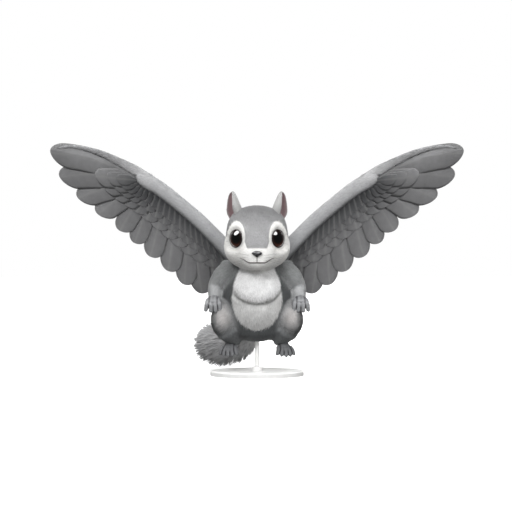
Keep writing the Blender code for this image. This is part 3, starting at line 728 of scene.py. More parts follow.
def spikes(path, halfAt, side, up, normals, steps, raised):
    # rings of three points round each path, the middle one raised by a share of the half width, and
    # a point at its end, with normals between those of the surface and those of the spike itself
    rings = [np.stack([path(t) + side * (halfAt(t) * a)[:, None] + up * (halfAt(t) * b)[:, None]
                       for a, b in ((1.0, 0.0), (0.0, raised), (-1.0, 0.0))], 1) for t in steps]
    points = np.concatenate(rings + [path(1.0)[:, None]], 1)
    outward = np.concatenate([np.stack([side, up, -side], 1)] * len(steps) + [up[:, None]], 1)
    return points, unit(normals + outward * 0.45)


def coatPiece(name, points, tint, unwrap, soft):
    # each spike has one small patch on the map, at its root's place
    count, total = points.shape[:2]
    flat = points.reshape(-1, 3)
    faces = turnedOut(flat, sweptFaces(count, total // 3, 3, True))
    local = np.stack([np.linspace(0, 0.003, total), (np.arange(total) % 3) * 0.0012], -1)
    plan = (unwrap[:, None] + local[None]).reshape(-1, 2)
    mesh = meshOf(name, flat, faces, tint.reshape(-1, 3), {"OFBake": plan}, soft.reshape(-1, 3))
    pieceOf(name, mesh, coatFinish)


def unwrapOf(points, place):
    # the part's tile on the map: angle round the part across it, and the way along it upwards
    nearest, spots, _ = place
    away = points - np.array(body["headCentre"])
    turn = np.arctan2(away[:, 0], -away[:, 1]) / (2 * math.pi) + 0.5
    rise = np.arcsin(np.clip(unit(away)[:, 2], -1, 1)) / math.pi + 0.5
    plan = np.stack([turn * 0.98, 0.52 + rise * 0.47], -1)
    for k, name in enumerate(boneNames):
        mine = nearest == k + 1
        spot = spots[mine, k + 1]
        line = boneLines[name]
        _, across, other = boneFrames[name]
        gap = points[mine] - line[spot, :3]
        turn = np.arctan2((gap * other[spot]).sum(-1), (gap * across[spot]).sum(-1)) / (2 * math.pi) + 0.5
        u0, v0, wide, tall = bones[name][3]
        plan[mine] = np.stack([u0 + turn * wide * 0.97, v0 + spot / samples * tall * 0.97], -1)
    return plan


def clearOfFace(roots, tips):
    # no tuft where the eyes, nose and line of the mouth show
    free = np.ones(len(roots), bool)
    for side in (1, -1):
        for where in (roots, tips):
            height, ring, _ = aroundEye(where, side)
            free &= ~((ring < 11.1) & (height > -14) & (height < 9))
    for where in (roots, tips):
        x, y, z = where.T
        free &= ~((np.abs(x) < 6.4 - 0.35 * np.abs(z - 146)) & (np.abs(z - 145.6) < 4.4) & (y < -48))
    x, y, z = roots.T
    line = mouthHeight(x)
    free &= ~((np.abs(z - line) < 0.75) & (np.abs(x) < 19.4) & (y < -30))
    free &= ~((np.abs(x) < 0.6) & (z > 135) & (z < 143) & (y < -50))
    return free


# the line of the mouth, which stays free of hair, and the cleft between it and the nose; both are
# dark threads: the mouth's partly the lips' own dark skin and partly painted shade in its groove,
# the cleft's painted shade in its groove
lips = {"height": 135.3, "rise": 5.4, "bend": (8.0, 20.5), "reach": 19.6, "thick": 0.60,
        "cleftTop": 142.6, "cleftThick": 0.38, "tone": (52, 46, 45)}


def mouthHeight(x):
    # flat in the middle and rising in a bend to the corners
    return lips["height"] + lips["rise"] * fade(*lips["bend"], np.abs(x))


def coverBody():
    # the coat of the whole body, densest round the nose and thin under the tail's brush
    middle = skinPoints[skinTriangles].mean(1)
    near = np.linalg.norm(middle - noseTip, axis=-1)
    density = coat["perSquareMm"] * (1 + coat["faceExtra"] * fade(60, 12, near))
    tailShare = shareOf(skinPlace, "tail")[skinTriangles].mean(-1)
    density = density * (1 - 0.5 * fade(0.5, 0.9, tailShare))
    roots, normals = rooted(skinPoints, skinNormals, skinTriangles, density, 21)
    place = bodyPlace(roots)
    lie = coatLie(roots, normals, place)
    length = coatLength(roots, place)
    free = clearOfFace(roots, roots + lie * length[:, None])
    free &= roots[:, 2] > 0
    roots, normals, lie, length = (v[free] for v in (roots, normals, lie, length))
    place = tuple(v[free] for v in place)
    colours = markings(roots + lie * length[:, None] * 0.6, place)
    unwrap = unwrapOf(roots, place)
    width = np.maximum(length * coat["width"], coat["leastWidth"])
    swirl = mottle(roots, coat["swirl"][0], 9) * coat["swirl"][1]
    region = regionOf(roots, place)
    for number, name in enumerate(regions):
        mine = region == number
        tufts("coat_" + name, roots[mine], normals[mine], lie[mine], length[mine], width[mine],
              coat["lift"], colours[mine], unwrap[mine], 40 + number, curl=swirl[mine])
        print("coat", name, int(mine.sum()), "tufts")


regions = ("face", "crown", "nape", "chest", "flanks", "rump", "arms", "legs", "tail_root")


def regionOf(points, place):
    # number of the coat's piece in the list above, by nearest part and place
    nearest = place[0]
    _, y, z = points.T
    found = np.full(len(points), 4)
    head = nearest == 0
    found[head & (z < 158)] = 0
    found[head & (z >= 158)] = 1
    found[head & (y > 2)] = 2
    trunk = (nearest == 1) | (nearest == 2)
    found[trunk & (y < -8)] = 3
    found[trunk & (y >= -8)] = 4
    found[trunk & (y > 22)] = 5
    limbs = {"arm": 6, "leg": 7, "shank": 7, "tail": 8}
    for k, kind in enumerate(boneKinds):
        if kind in limbs:
            found[nearest == k + 1] = limbs[kind]
    return found


coverBody()


# Eyes, with lids

def eyeball(side):
    # a ball whose front bulges slightly, rings of equal angle from the way it faces
    centre, out, _ = eyePlace(side)
    right, up = eyeAxes(out)
    tilt = np.concatenate([np.linspace(0.02, 1.0, 44), np.linspace(1.05, math.pi - 0.02, 20)])[:, None]
    turn = circle(72)[None]
    radius = (eye["radius"] - 0.25) * (1 + 0.02 * np.exp(-(tilt / 0.5) ** 2))
    rings = centre + radius[..., None] * (
        np.cos(tilt)[..., None] * out
        + (np.sin(tilt) * np.cos(turn))[..., None] * right
        + (np.sin(tilt) * np.sin(turn))[..., None] * up
    )
    whole = math.asin(eye["disc"] / eye["radius"])
    gaze = unit(np.array(eye["gaze"]) * (side, 1, 1))
    away = np.arccos(np.clip(unit(rings - centre) @ gaze, -1, 1)).ravel() / whole
    share = (tilt / whole + 0 * turn).ravel()
    height = (np.sin(turn) + 0 * tilt).ravel()
    tone = tonesOf(eye)
    # painted light: the iris shows brown mostly at its lower side and nearly black above
    litIris = fade(eye["pupil"], eye["iris"], away) * (0.55 - 0.45 * height)
    colours = mixed(tone["pupil"], tone["iris"], np.clip(litIris, 0, 1))
    colours = mixed(colours, tone["rim"], fade(0.84, 0.98, share))
    return meshOf("eye", *joinedRings([rings]), colours)


def eyelid(side):
    # a thin rim round the eyeball: a slanting oval section carried round the opening
    _, out, rim = eyePlace(side)
    right, up = eyeAxes(out)
    turn = circle(96)[:, None]
    section = circle(16)[None]
    lidRadius = eye["opening"] + eye["lid"] * (0.7 + np.cos(section))
    height = 0.35 + eye["lid"] * (np.sin(section) - 0.55 * np.cos(section))
    radial = np.cos(turn)[..., None] * right + np.sin(turn)[..., None] * up
    rings = rim + radial * lidRadius[..., None] + out * height[..., None]
    rows, around = rings.shape[:2]
    grid = np.arange(rows * around).reshape(rows, around)
    quads = np.stack([grid, np.roll(grid, -1, 1), np.roll(np.roll(grid, -1, 0), -1, 1),
                      np.roll(grid, -1, 0)], -1).reshape(-1, 4)
    points = rings.reshape(-1, 3)
    return meshOf("lid", points, turnedOut(points, [quads]), tonesOf(eye)["lid"])


for side, word in sides:
    pieceOf("eyeball_" + word, eyeball(side), eyeFinish, ("eye_" + word,))
    pieceOf("eyelid_" + word, eyelid(side), darkFinish)
print("eyes")


# Nose and mouth

nose = {
    "width": 6.5, "height": 3.7, "depth": 3.8,
    "tones": {"pad": (74, 74, 76), "dark": (16, 16, 17)},
}


def nosePad():
    # a ball drawn to a rounded triangle, wide above, with two comma-shaped nostrils let in
    tip = headPoint((0, -0.945, -0.325))
    way = sphereWays(60, 88, 0.03)
    wide = nose["width"] * (0.42 + 0.58 * fade(-0.95, 0.35, way[..., 2]))
    form = np.stack([way[..., 0] * wide, way[..., 1] * nose["depth"], way[..., 2] * nose["height"]], -1)
    x, z = np.abs(form[..., 0]), form[..., 2]
    slit = np.hypot((x - 2.9 - 0.35 * (z + 0.5)) / 1.5, (z + 0.3 - 0.28 * (x - 2.9)) / 0.75)
    hole = np.exp(-slit**2) * (way[..., 1] < 0)
    groove = np.exp(-(x / 0.45) ** 2) * fade(0.8, -1.5, z) * (way[..., 1] < 0)
    form[..., 1] += 1.9 * hole + 0.7 * groove
    points, faces = joinedRings([form + tip + (0, 0.2, 0)])
    tone = tonesOf(nose)
    # painted shade: nostrils and groove darkened, and the pad darker round its edge and below
    dark = np.clip(hole * 1.2 + groove * 0.7, 0, 1).ravel()
    colours = mixed(tone["pad"], tone["dark"], dark)
    edge = np.hypot(form[..., 0] / nose["width"], form[..., 2] / nose["height"])
    below = fade(0.1, -0.7, form[..., 2] / nose["height"])
    shade = np.maximum(0.6 * fade(0.6, 1.0, edge), 0.85 * below)
    return meshOf("nose", points, faces, mixed(colours, tone["dark"], shade.ravel()))


whiskers = {
    "count": 9, "length": (16.0, 34.0), "radius": 0.09, "tone": (104, 102, 102),
}


def whiskerPiece():
    # fine stiff hairs that leave the muzzle beside the nose, sweep back and droop at their ends
    draw = np.random.default_rng(55)
    parts = []
    for side in (1, -1):
        for k in range(whiskers["count"]):
            row, column = divmod(k, 3)
            root = onFace(side * (8.2 + 2.4 * column), 143.5 - 2.6 * row + 0.5 * column, 0.4)
            rise = 0.24 - 0.22 * row + draw.normal(0, 0.03)
            way = unit(np.array([side * 1.0, -0.28 + 0.30 * column, rise]))
            short, longest = whiskers["length"]
            long = short + (longest - short) * (column + row) / 4
            t = np.linspace(0, 1, 16)[:, None]
            line = root + way * long * t + np.array([0, 0.30, -0.14]) * long * t**2
            parts.append(thread(line, whiskers["radius"] * (1 - 0.8 * t[:, 0]), 6, (0, 0, 1)))
    points, faces = joinedRings(parts)
    mesh = meshOf("whiskers", points, faces, linear(*whiskers["tone"]))
    pieceOf("whiskers", mesh, clawFinish)


def lipLine(x, z, thick):
    # a thin round thread sunk half into the face along the given line, thinning to its ends
    line = onFace(x, z, sunk=0.42)
    t = np.linspace(-1, 1, len(line))
    return thread(line, thick * (1 - 0.75 * np.abs(t) ** 3), 10, (0, 1, 0))


across = np.linspace(-lips["reach"], lips["reach"], 79)
cleft = np.linspace(lips["cleftTop"], lips["height"] - 0.1, 24)
mouth = joinedRings([lipLine(across, mouthHeight(across), lips["thick"]),
                     lipLine(0 * cleft, cleft, lips["cleftThick"])])
pieceOf("lips", meshOf("lips", *mouth, linear(*lips["tone"])), darkFinish)
pieceOf("nose_pad", nosePad(), noseFinish, ("nose",))
whiskerPiece()
print("nose and mouth")


# Ears

ear = {
    "foot": (20.4, -3.5, 191.0), "tip": (29.4, 1.0, 220.3), "halfWidth": 11.5, "wall": 1.3,
    "facing": (0.93, -0.37, 0.0), "curl": (118, 25),  # degrees either side at the foot, less at the tip
    "hairs": 2600, "hairLength": (3.0, 2.2), "hairWidth": 0.17,  # at the foot, and less at the tip
    "tones": {"outside": (148, 148, 147), "inside": (132, 108, 110), "deep": (88, 72, 74),
              "rim": (138, 134, 134)},
}


def earSheet(t, s, side):
    # a leaf curled about its own axis: its half width shrinks to the tip, its curl opens upwards
    foot = np.array(ear["foot"])
    axis = np.array(ear["tip"]) - foot
    facing = unit(np.array(ear["facing"]))
    over = unit(np.cross(axis, facing))
    half = ear["halfWidth"] * np.clip(1 - np.clip(t, 0, 1) ** 1.25, 0, 1) ** 0.42 + 0.2
    half = half * (1 - 0.24 * fade(0.35, -0.15, t))
    curl = np.radians(ear["curl"][0] - ear["curl"][1] * np.clip(t, 0, 1))
    bend = half / np.sin(np.minimum(curl, math.pi / 2))
    sideways = bend * np.sin(s * curl)
    hollow = bend * (np.cos(s * curl) - 1)
    points = (foot + t[..., None] * axis + sideways[..., None] * over
              - (hollow + 0.35 * half)[..., None] * facing)
    return points * np.array([side, 1, 1])


def earForm(side):
    # the sheet's two faces, a wall apart, joined round the rim
    rows, wide = 44, 30
    t = -0.3 + 1.299 * (1 - (1 - np.linspace(0, 1, rows)) ** 1.6)[:, None]
    s = np.linspace(-1, 1, wide)[None]
    grid = earSheet(t, s, side)
    out = unit(np.cross(np.gradient(grid, axis=0), np.gradient(grid, axis=1)))
    facing = np.array(ear["facing"]) * (side, 1, 1)
    out = out * (-1 if (out[rows // 2, wide // 2] @ facing) > 0 else 1)
    wall = ear["wall"] / 2 * (1 - 0.5 * np.abs(s) ** 6)[..., None]
    outer, inner = grid + out * wall, grid - out * wall
    return grid, out, np.concatenate([outer, inner[:, ::-1]], 1)


def earPiece(side, word):
    # bare inside and pale outside under its coat; inside darker towards the foot and the middle of the
    # hollow, painted shade
    grid, out, rings = earForm(side)
    rows, around = rings.shape[:2]
    wide = around // 2
    t = np.linspace(-0.3, 1, rows)[:, None]
    s = np.linspace(-1, 1, wide)[None]
    tone = tonesOf(ear)
    rim = fade(0.80, 0.98, np.abs(s)) + 0 * t
    # painted shade in the hollow of the cup, towards its foot and middle
    inside = mixed(tone["inside"], tone["deep"],
                   fade(0.55, 0.0, t) * fade(0.9, 0.1, np.abs(s)))
    inside = mixed(inside, tone["rim"], rim * 0.6)
    outside = np.broadcast_to(tone["outside"], (rows, wide, 3))
    colours = np.concatenate([outside, inside[:, ::-1]], 1).reshape(-1, 3)
    mesh = meshOf("ear", *joinedRings([rings]), colours)
    pieceOf("ear_leaf_" + word, mesh, earFinish, ("ear_" + word,))
    earCoat(side, word, grid, out, tone)


def earCoat(side, word, grid, out, tone):
    # short hair on the outside, up towards the tip and a little over the rim
    draw = np.random.default_rng(70 + side)
    rows, wide = grid.shape[:2]
    count = ear["hairs"]
    r, c = draw.uniform(2, rows - 1.01, count), draw.uniform(0, wide - 1.01, count)
    i, j = r.astype(int), c.astype(int)
    u, v = (r - i)[:, None], (c - j)[:, None]
    at = (grid[i, j] * (1 - u) * (1 - v) + grid[i + 1, j] * u * (1 - v)
          + grid[i, j + 1] * (1 - u) * v + grid[i + 1, j + 1] * u * v)
    n = out[i, j]
    up = unit(grid[i + 1, j] - grid[i, j])
    lie = laidFlat(up, n)
    roots = at + n * ear["wall"] * 0.45
    edge = np.abs(c / (wide - 1) * 2 - 1)
    colours = mixed(tone["outside"], tone["rim"], fade(0.85, 1, edge))
    unwrap = np.stack([c / wide, r / rows], -1) * 0.98
    length = ear["hairLength"][0] - ear["hairLength"][1] * r / rows
    tufts("coat_ear_" + word, roots, n, lie, length, length * ear["hairWidth"], 0.16, colours,
          unwrap, 71)


for side, word in sides:
    earPiece(side, word)
print("ears")


# Paws with claws

paws = {
    "hand": {
        "palm": ((50.6, -14, 92.0, 6.2, 4.8), (51.6, -19, 90, 9.6, 5.8), (51.8, -22.5, 87, 10, 5)),
        "digits": ((-6.6, -8.2, 7.0), (-2.2, -3.0, 8.6), (2.4, 2.6, 8.6), (6.8, 8.6, 7.0)),
        "radius": 2.75, "droop": 3.5,
    },
    "foot": {
        "palm": ((30, 3, 41, 6.2, 6.6), (31.5, -4, 37, 6.8, 5.6), (33, -9.5, 32.5, 8.4, 4.4)),
        "digits": ((-7.2, -9.8, 6.0), (-3.6, -5.0, 8.2), (0.2, 0.2, 9.2), (3.8, 5.2, 8.4),
                   (7.2, 10.0, 6.4)),
        "radius": 2.6, "droop": 2.0,
    },
    "claw": 2.2, "voxel": 0.42, "letIn": 0.15, "slim": 1.06,
    "perSquareMm": 2.6, "hairLength": 2.0, "hairWidth": 0.46,
    # the gap tone is painted shade between the digits
    "tones": {"hand": (132, 133, 135), "foot": (104, 105, 107), "under": (84, 80, 82),
              "gap": (34, 33, 36), "claw": (82, 78, 76)},
}


def digitLines(spec, side):
    # each digit's centreline with radii, and its claw's, fanned from the end of the palm or sole
    rows = np.array(spec["palm"], float)
    end = rows[-1, :3]
    ahead = unit(end - rows[-2, :3])
    over = unit(np.cross(ahead, (0, 0, 1.0)))
    over = over if over[0] > 0 else -over
    down = np.cross(over, ahead)
    down = down if down[2] < 0 else -down
    radius, claw = spec["radius"] * paws["slim"], paws["claw"]
    digits, claws = [], []
    for rootShift, tipShift, length in spec["digits"]:
        root = end + over * rootShift - ahead * 2.0
        knuckle = root + ahead * (2 + length * 0.5) + over * (tipShift - rootShift) * 0.5
        tip = root + ahead * (2 + length) + over * (tipShift - rootShift) + down * spec["droop"]
        lifted = knuckle - down * 0.5
        digits.append(((*root, radius, radius), (*lifted, radius * 1.04, radius),
                       (*tip, radius * 0.9, radius * 0.86)))
        hook = tip + unit(tip - knuckle) * claw * 0.62 - down * 0.3
        point = tip + unit(tip - knuckle) * claw + down * claw * 0.45
        claws.append(((*(tip - down * 0.4), 1.15, 1.3), (*hook, 0.85, 1.0), (*point, 0.14, 0.14)))
    flip = np.array([side, 1, 1, 1, 1.0])
    return [np.array(line) * flip for line in (rows, *digits)], [np.array(claw) * flip for claw in claws]


def pawSkin(kind, side, word):
    # palm or sole and digits fused to one skin, bare and darker below, with painted shade between the
    # digits, and with claws
    lines, claws = digitLines(paws[kind], side)
    parts = [tubeRings(lines[0], 18, 32, (5.0, 3.0), (0, 0, 1))]
    radius = paws[kind]["radius"]
    parts += [tubeRings(line, 14, 20, (radius, radius * 0.9), (0, 0, 1)) for line in lines[1:]]
    points, triangles = arraysOf(fused(parts, paws["voxel"], 3))
    normals = pointNormals(points, triangles)
    points = points - normals * paws["letIn"]
    tone = tonesOf(paws)
    bare = fade(0.35, -0.5, 0.6 * normals[:, 2] - normals[:, 1])
    colours = mixed(tone[kind], tone["under"], bare)
    colours = colours * (1 + 0.06 * mottle(points, 5, 12))[:, None]
    colours = mixed(colours, tone["gap"], shadeBetweenDigits(points, lines))
    pieceOf(f"{kind}_skin_{word}", meshOf("paw", points, [triangles], colours), pawFinish,
            (f"{kind}_{word}",))
    made = joinedRings([tubeRings(line, 12, 12, (0.5, 0.1), (0, 0, 1), 3) for line in claws])
    pieceOf(f"{kind}_claws_{word}", meshOf("claws", *made, tone["claw"]), clawFinish)
    pawCoat(kind, side, word, points, triangles, normals, lines, tone)


def shadeBetweenDigits(points, lines):
    # painted shade between digits: 1 where the nearest two digits are equally far, 0 where one is 1.5 mm
    # nearer, and 0 on the palm
    away = [np.sqrt(squaresTo(points, through(line[:, :3], 16)).min(1)) for line in lines]
    palm, away = away[0], np.sort(np.stack(away[1:], -1), axis=1)
    return fade(1.5, 0.3, away[:, 1] - away[:, 0]) * fade(4.5, 7.5, palm)


def pawCoat(kind, side, word, points, triangles, normals, lines, tone):
    # very short hair that lies along the digits, none on the soles
    roots, n = rooted(points, normals, triangles, paws["perSquareMm"], 80 + side)
    keep = (-n[:, 1] + 0.6 * n[:, 2]) > -0.35
    roots, n = roots[keep], n[keep]
    spine = np.concatenate([through(line[:, :3], 12) for line in lines])
    ahead = np.concatenate([unit(np.gradient(through(line[:, :3], 12), axis=0)) for line in lines])
    closest = squaresTo(roots, spine).argmin(1)
    lie = laidFlat(ahead[closest], n)
    colours = np.broadcast_to(tone[kind], roots.shape) * (1 + 0.06 * mottle(roots, 4, 13))[:, None]
    # painted shade on the hair between the digits
    colours = mixed(colours, tone["gap"], 0.9 * shadeBetweenDigits(roots, lines))
    low, high = roots.min(0), roots.max(0)
    plan = (roots - low) / (high - low)
    unwrap = np.stack([plan[:, 0] * 0.47 + 0.5 * (n[:, 1] > 0), plan[:, 2] * 0.97], -1)
    width = np.full(len(roots), paws["hairWidth"])
    tufts(f"coat_{kind}_{word}", roots, n, lie, paws["hairLength"], width, 0.18, colours, unwrap, 82)


for side, word in sides:
    for kind in ("hand", "foot"):
        pawSkin(kind, side, word)
print("paws")


# Tail

brush = {
    "locks": 9400, "length": 35.0, "width": 1.35, "sag": 2.4,
    "follow": 0.24,  # how far a lock turns to the way of the core, of its length
    "endShare": 0.13,  # of the locks, rooted all over the core's end
    "endsAt": 0.97,  # share of the way along the core where the end begins
    "shortRoot": 0.33, "fullFrom": 0.45,  # share of the full length at the root, and where it is reached
    "slant": (44, -32, 16),  # degrees at the root, more towards the tip, more where the lock is full
    "endSlant": 56,
    "tones": {"root": (108, 108, 109), "middle": (150, 150, 151), "end": (170, 170, 171)},
}


def tailBrush():
    # long tapering locks from the tail's core that lean towards its tip and droop at their ends
    draw = np.random.default_rng(31)
    places = 160
    line = through(bones["tail"][0], places)
    ahead, over, other = frameAlong(line[:, :3], (0, 0, 1))
    count, ends = brush["locks"], brush["endsAt"]
    share = np.sort(np.where(draw.random(count) < brush["endShare"], draw.uniform(ends, 1, count),
                             ends * draw.random(count) ** 0.80))
    at = (share * 0.95 * (places - 1) + 8).astype(int).clip(0, places - 1)
    turn = draw.uniform(0, 2 * math.pi, count)
    out = np.cos(turn)[:, None] * over[at] + np.sin(turn)[:, None] * other[at]
    grown = fade(0.02, brush["fullFrom"], share)
    full = 0.62 + 0.38 * np.sin(math.pi * np.clip(0.10 + share * 0.86, 0, 1))
    full = full * (brush["shortRoot"] + (1 - brush["shortRoot"]) * grown)
    first, onward, more = brush["slant"]
    slant = np.radians(first + onward * share + more * grown) * draw.uniform(0.84, 1.12, count)
    atEnd = share > ends
    slant = np.where(atEnd, np.radians(brush["endSlant"]) * draw.random(count) ** 0.6, slant)
    swing = np.where(atEnd, draw.uniform(0, 2 * math.pi, count), turn)
    aside = np.cos(swing)[:, None] * over[at] + np.sin(swing)[:, None] * other[at]
    way = unit(aside * np.sin(slant)[:, None] + ahead[at] * np.cos(slant)[:, None])
    size = brush["length"] * full * draw.uniform(0.72, 1.04, count)
    size = size * np.where(atEnd, 1.1 - 0.3 * slant, 1)
    inner = np.where(atEnd, draw.random(count), 1)
    roots = line[at, :3] + out * (line[at, 3] * 0.45 * inner)[:, None]
    side = unit(np.cross(way, aside))
    up = np.cross(side, way)
    bend = draw.normal(0, 0.06, count)
    steps = np.array([0.0, 0.3, 0.62, 0.86])
    half = brush["width"] * 0.5 * draw.uniform(0.8, 1.2, count)

    def path(t):
        return (roots + way * (size * t * (1 - 0.10 * t))[:, None]
                + ahead[at] * (size * brush["follow"] * t * t)[:, None]
                + side * (size * bend * t * t)[:, None]
                - np.array([0, 0, brush["sag"] * t * t]))

    def halfAt(t):
        return half * (1 - 0.45 * t)

    place = np.concatenate([np.repeat(steps, 3), [1.0]])
    tone = tonesOf(brush)
    tint = mixed(tone["root"], tone["middle"], fade(0.1, 0.6, place))
    tint = mixed(tint, tone["end"], fade(0.6, 1, place)) * draw.normal(1, 0.07, count)[:, None, None]
    endward = fade(0.50, 0.95, share)[:, None] * (0.35 + 0.55 * place)[None]
    facing = mixed(out[:, None], ahead[at][:, None], endward)
    points, soft = spikes(path, halfAt, side, up, facing, steps, 0.6)
    u0, v0, wide, tall = bones["tail"][3]
    unwrap = np.stack([u0 + turn / (2 * math.pi) * wide * 0.97, v0 + share * tall * 0.97], -1)
    for number, name in enumerate(("coat_tail_upper", "coat_tail_lower")):
        mine = (np.sin(turn) > 0) == (number == 0)
        coatPiece(name, points[mine], tint[mine], unwrap[mine], soft[mine])


tailBrush()
print("tail")


# Wings

wing = {
    "arm": ((4, 20, 122, 9.5, 7.5), (17, 30, 132, 10.5, 8), (46, 36, 161, 9.6, 8), (70, 35.5, 185, 9.4, 7.6),
            (95, 33, 206.5, 9.2, 7.2), (118, 29, 224.5, 9.4, 7), (133, 26.5, 233.4, 9.3, 6.6),
            (140, 25.5, 237.3, 7.4, 5.4), (144, 25, 239.8, 3.4, 2.8)),
    "hand": ((132, 27, 236.5, 7.2, 4.6), (149, 28, 248.5, 5.6, 3.0), (167, 29.3, 258.2, 4.4, 2.1),
             (188, 32, 268.0, 3.3, 1.5), (208, 36.5, 274.4, 2.4, 1.1), (228, 42.5, 277.6, 1.6, 0.9),
             (243, 46.6, 276.4, 0.8, 0.6)),
    "edge": ((10, 30, 128), (46, 36, 163), (95, 33, 208), (136, 26, 234.5), (178, 30.5, 254),
             (206, 36, 264), (252, 49, 274)),
    "slope": 0.30, "hollow": 0.0017, "tilt": -0.031,
    # root x, root z, tip x, tip z, width, sideways bow, slant of the end, outermost first
    "flight": ((146, 240, 254, 270, 31, 6, 0.35), (146, 234, 243, 240, 31, 6, 0.35),
               (143, 230, 220, 214, 30, 5, 0.30), (138, 227, 195, 194, 30, 4, 0.15),
               (132, 225, 168, 174, 27, 2, 0.0), (124, 221, 150, 159, 25, 1, -0.10),
               (114, 213, 131, 142.5, 27, -1, -0.18), (102, 203, 109.5, 125, 28, -2, -0.22),
               (89, 192, 89.5, 108, 27, -2, -0.22), (76, 180, 67.5, 97, 27, -2, -0.22),
               (62, 167, 47, 95, 26, -1, -0.22), (48, 154, 29.5, 100, 25, 0, -0.22)),
    "flightForm": {"rows": 34, "across": 13, "thick": 0.42, "foot": 0.55, "shade": 0.22, "shaft": 0.35},
    # rows of coverts: share of the flight feather's length, width, lift off the sheet
    "coverts": ((0.52, 25.0, 1.6), (0.37, 19.0, 2.5), (0.25, 14.0, 3.4)),
    "covertForm": {"rows": 18, "across": 9, "thick": 0.20, "foot": 0.40, "shade": 0.10, "shaft": 0.0},
    "covertSpacing": 0.60,  # of a covert's width
    "covertStart": 0.85,  # the place of the first covert between the first two flight feathers
    # fur of the arm: full length where the arm is as thick as "fullAt"; width and lift are shares of
    # the length, and lean is towards the trailing edge, first on the arm, then what the hand adds
    "fur": {"perSquareMm": 1.0, "length": 5.4, "fullAt": 9.5, "width": 0.17, "lift": 0.14,
            "lean": (0.35, 0.55)},
    "overhang": 0.14,  # how much wider a vane is on its inner side, and narrower on the other
    "camber": 0.02,  # of its half width
    "quill": 0.55,  # half the width of the raised quill
    "settle": 0.22,  # share of its lift that a covert loses towards its tip
    "round": 0.35,  # how far a vane's shading turns to its edges
    "shadeSide": -1,  # the side of a vane that lies under its neighbour
    "tones": {"inner": (54, 55, 57), "outer": (106, 106, 107), "far": (115, 115, 116),
              "armNear": (155, 156, 158), "armFar": (177, 177, 178), "band": (136, 136, 137),
              "shaft": (136, 136, 134)},
}


def sheetDepth(x, z):
    # depth y of the wing's middle surface: it falls back from the leading edge and flattens
    edge = np.array(wing["edge"], float)
    below = np.clip(np.interp(x, edge[:, 0], edge[:, 2]) - z, 0, 85)
    return np.interp(x, edge[:, 0], edge[:, 1]) + wing["slope"] * below - wing["hollow"] * below**2


def vanes(table, form, side):
    # each vane is a bowed blade on the wing's sheet: a curved centreline, a half width that opens
    # from the root and rounds off at a slanting end, and a thin section, raised in the middle
    root, tip = table[:, 0:2], table[:, 2:4]
    width, bow, slant, offset = table[:, 4:8].T
    chord = tip - root
    normal = unit(np.stack([-chord[:, 1], chord[:, 0]], -1))
    normal = normal * np.where(normal[:, 1:] > 0, 1, -1)
    middle = (root + tip) / 2 + normal * bow[:, None] * 2
    t = (1 - (1 - np.linspace(0, 1, form["rows"])) ** 1.5)[None, :, None]
    r, m, e = root[:, None], middle[:, None], tip[:, None]
    line = (1 - t) ** 2 * r + 2 * t * (1 - t) * m + t**2 * e
    along = unit(2 * (1 - t) * (m - r) + 2 * t * (e - m))
    inward = np.stack([along[..., 1], -along[..., 0]], -1)
    inward = inward * np.where(inward.sum(-1, keepdims=True) > 0, -1, 1)
    t = t[..., 0]
    rounding = np.sqrt(np.clip(1 - (np.clip(t - 0.80, 0, 1) / 0.2005) ** 2, 0, 1))
    opening = form["foot"] + (1 - form["foot"]) * fade(0, 0.5, t)
    half = width[:, None] / 2 * opening * rounding + 0.05
    v = np.linspace(-1, 1, form["across"])
    loop = np.concatenate([v, v[::-1][1:-1]])
    face = np.concatenate([np.ones(len(v)), -np.ones(len(v) - 2)])
    face[[0, len(v) - 1]] = 0
    shift = half[..., None] * loop * (1 + wing["overhang"] * np.sign(loop))
    push = shift * slant[:, None, None] * fade(0.45, 1.0, t)[..., None]
    flat = line[:, :, None] + inward[:, :, None] * shift[..., None] - along[:, :, None] * push[..., None]
    ridge = np.exp(-((shift / wing["quill"]) ** 2)) * form["shaft"] * (1 - 0.8 * t[..., None])
    section = form["thick"] / 2 * np.sqrt(1 - loop**2) + ridge * np.abs(face)
    camber = wing["camber"] * half[..., None] * (1 - loop**2)
    fall = offset[:, None, None] * (1 - wing["settle"] * fade(0.1, 1.0, t))[..., None]
    x, z = flat[..., 0], flat[..., 1]
    depth = sheetDepth(x, z) + wing["tilt"] * shift + fall - camber - face * section
    points = np.stack([x * side, depth, z], -1)
    slopeX = (sheetDepth(x + 1, z) - sheetDepth(x - 1, z)) / 2
    slopeZ = (sheetDepth(x, z + 1) - sheetDepth(x, z - 1)) / 2
    front = np.stack([slopeX, -np.ones_like(slopeX), slopeZ], -1) * face[:, None]
    curve = np.stack([inward[..., 0], 0 * inward[..., 0], inward[..., 1]], -1)[:, :, None]
    soft = unit(front + curve * loop[:, None] * wing["round"]) * (side, 1, 1)
    reach = t * np.linalg.norm(chord, axis=-1)[:, None]
    plan = np.stack([shift, np.broadcast_to(reach[..., None], shift.shape)], -1)
    return points, plan, loop, soft


